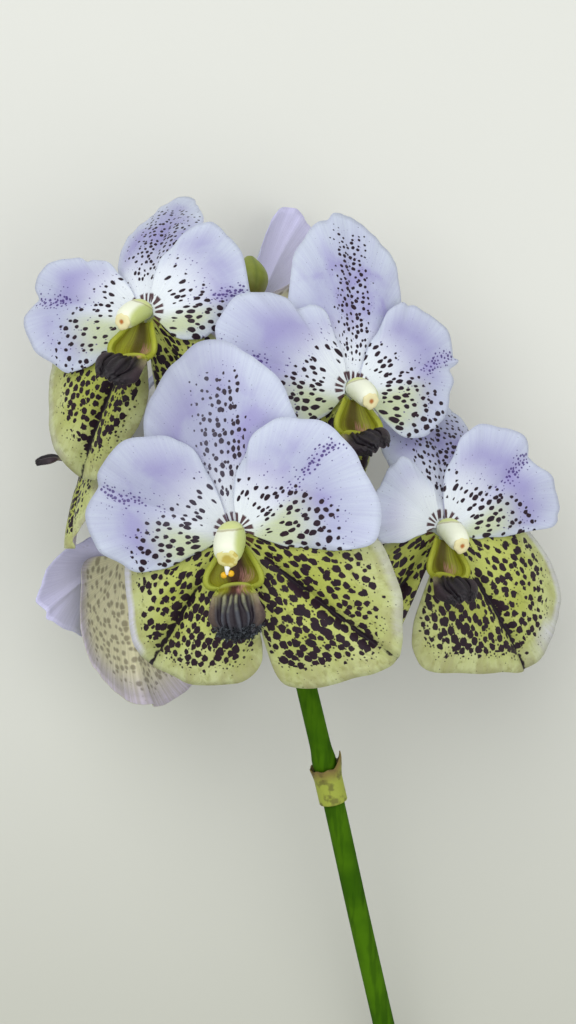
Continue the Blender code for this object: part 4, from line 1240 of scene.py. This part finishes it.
def stalk_tree():
    nodes, sockets, start = new_tree("ribbed_stalk", Sides="Int", Ribs="Int", Depth="Float")
    curve = nodes.node("GeometryNodeMeshToCurve", {"Mesh": start["Geometry"]})["Curve"]
    radius = nodes.node("GeometryNodeInputNamedAttribute", {"Name": "radius"}, data_type="FLOAT")
    ring = nodes.node("GeometryNodeCurvePrimitiveCircle", {"Radius": 1.0,
                                                           "Resolution": start["Sides"]})
    place = nodes.node("GeometryNodeInputPosition")[0]
    split = nodes.split(place)
    angle = nodes.math("ARCTAN2", split["Y"], split["X"])
    wave = nodes.math("COSINE", nodes.times(angle, start["Ribs"]))
    ribs = nodes.vector("SCALE", (0, place), (3, nodes.times(wave, start["Depth"])))
    ribbed = nodes.node("GeometryNodeSetPosition", {"Geometry": ring["Curve"], "Offset": ribs})
    sweep = nodes.node("GeometryNodeCurveToMesh", {
        "Curve": curve, "Profile Curve": ribbed["Geometry"], "Scale": radius["Attribute"],
        "Fill Caps": True})
    smooth = nodes.node("GeometryNodeSetShadeSmooth", {"Geometry": sweep["Mesh"]})
    end_tree(nodes, smooth["Geometry"], start["Material"])
    return nodes.tree, sockets


STALK_TREE, STALK_SOCKETS = stalk_tree()
print(len(STALK_TREE.nodes), "nodes, inputs", list(STALK_SOCKETS))

# %% Run a tree on a row of points


def plain_mesh(made, tree, sockets, **settings):
    """Runs a tree on an object and keeps the result as a plain mesh."""
    step = made.modifiers.new("made_by_nodes", "NODES")
    step.node_group = tree
    for label, value in settings.items():
        step[sockets[label]] = value
    graph = bpy.context.evaluated_depsgraph_get()
    result = bpy.data.meshes.new_from_object(made.evaluated_get(graph), depsgraph=graph)
    made.modifiers.remove(step)
    made.data = result
    return made


def build_stalk(name, points, radii, finish, sides, ribs, depth):
    """A ribbed stalk along points, with how far along it each point is."""
    mesh = bpy.data.meshes.new(name)
    edges = [(i, i + 1) for i in range(len(points) - 1)]
    mesh.from_pydata([tuple(p) for p in points * MM], edges, [])
    layer = mesh.attributes.new("radius", "FLOAT", "POINT")
    layer.data.foreach_set("value", (np.asarray(radii) * MM).astype(np.float32))
    layer = mesh.attributes.new("along", "FLOAT", "POINT")
    layer.data.foreach_set("value", np.linspace(0, 1, len(points)).astype(np.float32))
    made = bpy.data.objects.new(name, mesh)
    bpy.context.scene.collection.objects.link(made)
    return plain_mesh(made, STALK_TREE, STALK_SOCKETS, Sides=sides, Ribs=ribs, Depth=depth,
                      Material=finish)


# %% Stem
STEM_ROUTE = (
    (45.1, -228.2, 3.6), (25.2, -141.5, 28.0), (15.0, -95.2, 41.2),
    (6.1, -57.2, 51.0), (-3.9, -15.4, 56.0), (-10.3, 19.9, 56.5),
    (-11.9, 45.8, 54.0), (-12.2, 66.0, 50.0))
STEM_RADII = (3.6, 3.55, 3.5, 3.35, 3.0, 2.6, 2.2, 1.7)
NODE_AT, NODE_SWELL, NODE_SPAN = 0.337, 0.16, 0.012
STEM_STEPS = 240
STEM_SIDES, STEM_RIBS, STEM_RIB_DEPTH, STEM_SHARE = 48, 16, 0.012, 0.985


def stem_route(steps):
    return smooth_route(STEM_ROUTE, steps) + SHIFT, smooth_numbers(STEM_RADII, steps)


def stem_points(share):
    """Axis point, direction and radius of the stem at a share of its length."""
    route, radii = stem_route(STEM_STEPS + 1)
    low = min(int(share * STEM_STEPS), STEM_STEPS - 1)
    mix = share * STEM_STEPS - low
    point = route[low] * (1 - mix) + route[low + 1] * mix
    radius = radii[low] * (1 - mix) + radii[low + 1] * mix
    swell = 1 + NODE_SWELL * math.exp(-((share - NODE_AT) / NODE_SPAN) ** 2)
    return point, unit(route[low + 1] - route[low]), radius * swell


def stalk_finish(name, low, high, streak, roughness, scale):
    finish = Finish(name, Specular_IOR_Level=0.08)
    where = finish.place()
    stretched = finish.node("ShaderNodeMapping", {"Vector": where, "Scale": (1.0, 0.12, 0.3)})
    lines = finish.noise(stretched[0], scale, 4.0)
    colour = finish.mix(finish.ramp(finish.noise(where, 60.0, 3.0), 0.35, 0.65), low, high)
    colour = finish.tint(colour, finish.ramp(lines, 0.45, 0.65), 0.5, streak)
    finish.bump(lines, 0.3, 0.0003)
    return finish.finish(colour, roughness)


stem_material = stalk_finish("green_stem", shade(46, 84, 0), shade(66, 106, 4),
                             shade(28, 60, 0), 0.8, 500.0)
pedicel_material = stalk_finish("pale_flower_stalk", shade(206, 212, 190), shade(190, 198, 196),
                                shade(168, 184, 130), 0.45, 700.0)
points, radii = stem_route(STEM_STEPS + 1)
shares = np.linspace(0, 1, STEM_STEPS + 1)
radii = radii * (1 + NODE_SWELL * np.exp(-((shares - NODE_AT) / NODE_SPAN) ** 2))
stem = build_stalk("stem_fine", points, radii * STEM_SHARE, stem_material,
                   STEM_SIDES, STEM_RIBS, STEM_RIB_DEPTH)
dress(stem, "stem", "stem")
print("stem", len(stem.data.polygons), "faces")

# %% Flower stalks
PEDICEL_RADIUS, PEDICEL_FLARE, PEDICEL_FLARE_FROM = 1.75, 3.3, 0.84
PEDICEL_LEAVES, PEDICEL_LEANS, PEDICEL_MEETS = 0.30, 0.12, 0.42
PEDICEL_SIDES, PEDICEL_RIBS, PEDICEL_RIB_DEPTH, PEDICEL_SHARE = 30, 6, 0.05, 0.95
RECEPTACLE_TOP = -2.45


def build_pedicel(name, bloom):
    size = bloom["size"]
    axis, ahead, radius = stem_points(bloom["stem_at"])
    end = to_world(np.array((0, 0, RECEPTACLE_TOP / size)), bloom)
    away = end - axis
    away = unit(away - ahead * np.dot(away, ahead))
    start = axis + away * (radius + CLEAR)
    reach = np.linalg.norm(end - start)
    facing = bloom["frame"][:, 2]
    first = start + away * PEDICEL_LEAVES * reach + ahead * PEDICEL_LEANS * reach
    second = end - facing * PEDICEL_MEETS * reach
    share = np.linspace(0.0, 1.0, 60)[:, None] ** 0.9
    points = ((1 - share) ** 3 * start + 3 * (1 - share) ** 2 * share * first
              + 3 * (1 - share) * share ** 2 * second + share ** 3 * end)
    share = share[:, 0]
    flare = rise(share, PEDICEL_FLARE_FROM, 1 - PEDICEL_FLARE_FROM)
    radii = size * (PEDICEL_RADIUS * (1 + 0.25 * share)
                    + (PEDICEL_FLARE - 1.25 * PEDICEL_RADIUS) * flare)
    made = build_stalk(name + "_pedicel_fine", points, radii * PEDICEL_SHARE, pedicel_material,
                       PEDICEL_SIDES, PEDICEL_RIBS, PEDICEL_RIB_DEPTH)
    return dress(made, "pedicel", name + "_pedicel")


for name, bloom in BLOOMS.items():
    build_pedicel(name, bloom)
print(len(BLOOMS), "flower stalks")

# %% [markdown]
# ## A fringe on the front lip's end
# The end of the tongue is crumbly with short soft teeth. A second Geometry
# Nodes tree scatters points on the lip's face where the mesh's own number says
# that it is near the tip, sets a small cone on each, turns it at random and
# makes the cones real.

# %% The fringe tree


def fringe_tree():
    """Cones on the outer face of the lip, where it is past the share that it starts at."""
    nodes, sockets, start = new_tree("lip_fringe", Density="Float", Length="Float",
                                     Starts="Float", Seed="Int")
    seed = {"Seed": start["Seed"]}
    lip = nodes.node("GeometryNodeInputNamedAttribute", {"Name": "lip"},
                     data_type="FLOAT_VECTOR")["Attribute"]
    split = nodes.split(lip)
    near = nodes.times(nodes.math("GREATER_THAN", split["X"], start["Starts"]), split["Z"])
    scatter = nodes.node("GeometryNodeDistributePointsOnFaces", {
        "Mesh": start["Geometry"], "Selection": near, "Density": start["Density"], **seed})
    cone = nodes.node("GeometryNodeMeshCone", {
        "Vertices": 6, "Side Segments": 2, "Radius Top": 0.00006, "Radius Bottom": 0.00026,
        "Depth": start["Length"]})
    lean = nodes.node("FunctionNodeRandomValue", {
        0: (-0.9, -0.9, 0.0), 1: (0.9, 0.9, 6.28), **seed}, data_type="FLOAT_VECTOR")[0]
    turn = nodes.node("FunctionNodeRotateRotation", {"Rotation": scatter["Rotation"],
                                                     "Rotate By": lean}, rotation_space="LOCAL")
    size = nodes.node("FunctionNodeRandomValue", {2: 0.6, 3: 1.2, **seed}, data_type="FLOAT")[1]
    place = nodes.node("GeometryNodeInstanceOnPoints", {
        "Points": scatter["Points"], "Instance": cone["Mesh"], "Rotation": turn[0],
        "Scale": size})
    end_tree(nodes, place["Instances"], start["Material"])
    return nodes.tree, sockets


# %% The fringe
FRINGE_DENSITY, FRINGE_LENGTH, FRINGE_STARTS, FRINGE_SEED = 3.2e6, 0.0013, 0.86, 7
finish = Finish("blue_black_fringe", Specular_IOR_Level=0.3)
grain = finish.ramp(finish.noise(finish.place(), 900.0, 3.0), 0.42, 0.66)
fringe_material = finish.finish(finish.mix(grain, shade(20, 23, 28), shade(78, 84, 90)), 0.6)
fringe = bpy.data.objects.new("front_lip_fringe", BLOOMS["front"]["lip_piece"].data.copy())
bpy.context.scene.collection.objects.link(fringe)
plain_mesh(fringe, *fringe_tree(), Density=FRINGE_DENSITY, Length=FRINGE_LENGTH,
           Starts=FRINGE_STARTS, Seed=FRINGE_SEED, Material=fringe_material)
dress(fringe, "lip")
print("fringe", len(fringe.data.polygons), "faces")

# %% [markdown]
# ## The bud and the sheath bract
# The closed bud shows the seams between its sepals. The bract is a dry sleeve
# with a slit round the stem's node, and its upper edge runs to a point.

# %% Bud
BUD_LENGTH, BUD_RADIUS, BUD_TIP = 17.0, 6.0, 0.12
BUD_SPAN, BUD_FULL = (0.12, 0.95), 1.25
BUD_MESH = (40, 48)
BUD_SEAMS, SEAM_SPAN, SEAM_DEPTH, BUD_SHARE = 3, 0.16, 0.07, 0.99

finish = Finish("green_bud", Specular_IOR_Level=0.4)
_, (along, seam, _) = finish.value("bud")
place = finish.place()
colour = finish.mix(finish.ramp(along, 0.05, 0.6), shade(96, 84, 34), shade(122, 134, 42))
cloud = finish.ramp(finish.noise(place, 220.0, 4.0), 0.42, 0.68)
colour = finish.tint(colour, cloud, 0.4, shade(146, 154, 74))
colour = finish.tint(colour, seam, 0.5, shade(88, 104, 34))
finish.bump(finish.noise(place, 900.0, 3.0), 0.25, 0.0003)
bud_material = finish.finish(colour, 0.45)

tip, ahead, _ = stem_points(1.0)
rings, sides = BUD_MESH
share = np.linspace(0.0, 1.0, rings)
points = tip + np.outer(CLEAR + share * BUD_LENGTH, ahead)
profile = np.sin(math.pi * (BUD_SPAN[0] + (BUD_SPAN[1] - BUD_SPAN[0]) * share) ** BUD_FULL)
profile = np.maximum(profile, BUD_TIP)
tube = tube_rings(points, BUD_RADIUS * profile * BUD_SHARE, sides)
angles = 2 * np.pi * np.arange(sides) / sides
seam = np.exp(-(np.sin(BUD_SEAMS * angles / 2) / SEAM_SPAN) ** 2)
depth = SEAM_DEPTH * np.sin(math.pi * share)[:, None] * seam[None, :]
tube = points[:, None, :] + (tube - points[:, None, :]) * (1 - depth[..., None])
vertices, faces = closed_rings(tube)
rows = np.column_stack((np.repeat(share, sides), np.tile(seam, rings), np.zeros(rings * sides)))
rows = np.vstack((rows, (0, 0, 0), (1, 0, 0)))
dress(make_piece("bud_fine", vertices, faces, bud_material, {"bud": rows}), "bud", "bud")
print("bud", len(faces), "faces")

# %% Sheath bract
SHEATH_AT, SHEATH_LENGTH, SHEATH_WALL = NODE_AT - 0.028, 12.5, 0.8
SHEATH_SWEEP, SHEATH_POINT, SHEATH_POINT_AT, SHEATH_FLARE = 300.0, 4.0, 0.22, 0.5
SHEATH_WAVE, SHEATH_WAVES, POINT_SPAN = 0.25, 43, 0.1
SHEATH_MESH = (26, 80)

finish = Finish("dry_sheath_bract", Specular_IOR_Level=0.3)
_, (along, _, _) = finish.value("sheath")
place = finish.place()
colour = finish.mix(finish.ramp(along, 0.55, 1.0), shade(150, 160, 60), shade(120, 104, 52))
dark = finish.ramp(finish.noise(place, 300.0, 5.0), 0.5, 0.66)
colour = finish.tint(colour, dark, 0.6, shade(70, 56, 32))
finish.bump(finish.noise(place, 900.0, 4.0), 0.4, 0.0004)
sheath_material = finish.finish(colour, 0.6)

point, ahead, radius = stem_points(SHEATH_AT)
side = unit(np.cross(ahead, (0, 0, 1)))
up = np.cross(side, ahead)
route, _ = stem_route(STEM_STEPS + 1)
length = np.linalg.norm(np.diff(route, axis=0), axis=1).sum()
rows, columns = SHEATH_MESH
grid = np.zeros((rows, columns, 3))
for column in range(columns):
    share = column / (columns - 1)
    angle = math.radians(90 - SHEATH_SWEEP / 2 + SHEATH_SWEEP * share)
    out = math.cos(angle) * side + math.sin(angle) * up
    pointed = math.exp(-((share - SHEATH_POINT_AT) / POINT_SPAN) ** 2)
    uneven = SHEATH_WAVE * math.sin(SHEATH_WAVES * share)
    reach = SHEATH_LENGTH / 2 + SHEATH_POINT * pointed + uneven
    for row in range(rows):
        along = -SHEATH_LENGTH / 2 + (reach + SHEATH_LENGTH / 2) * row / (rows - 1)
        near = stem_points(SHEATH_AT + along / length)
        flare = SHEATH_FLARE * max(0.0, along - 2.0) / 4.0
        stand = max(radius, near[2]) + CLEAR + SHEATH_WALL / 2 + flare
        grid[row, column] = point + along * ahead + stand * out
normal = np.cross(np.gradient(grid, axis=0), np.gradient(grid, axis=1))
normal /= np.linalg.norm(normal, axis=2)[..., None]
wall = SHEATH_WALL / 2 * (1 - 0.6 * np.linspace(0, 1, rows) ** 6)[:, None, None]
vertices = np.vstack(((grid + normal * wall).reshape(-1, 3), (grid - normal * wall).reshape(-1, 3)))
values = np.stack(np.meshgrid(np.linspace(0, 1, rows), np.linspace(0, 1, columns),
                              [0.0], indexing="ij"), axis=-1).reshape(-1, 3)
sheath = make_piece("stem_sheath_fine", vertices, blade_faces(rows, columns), sheath_material,
                    {"sheath": np.vstack((values, values))})
dress(sheath, "sheath", "stem_sheath")
print("sheath", len(sheath.data.polygons), "faces")
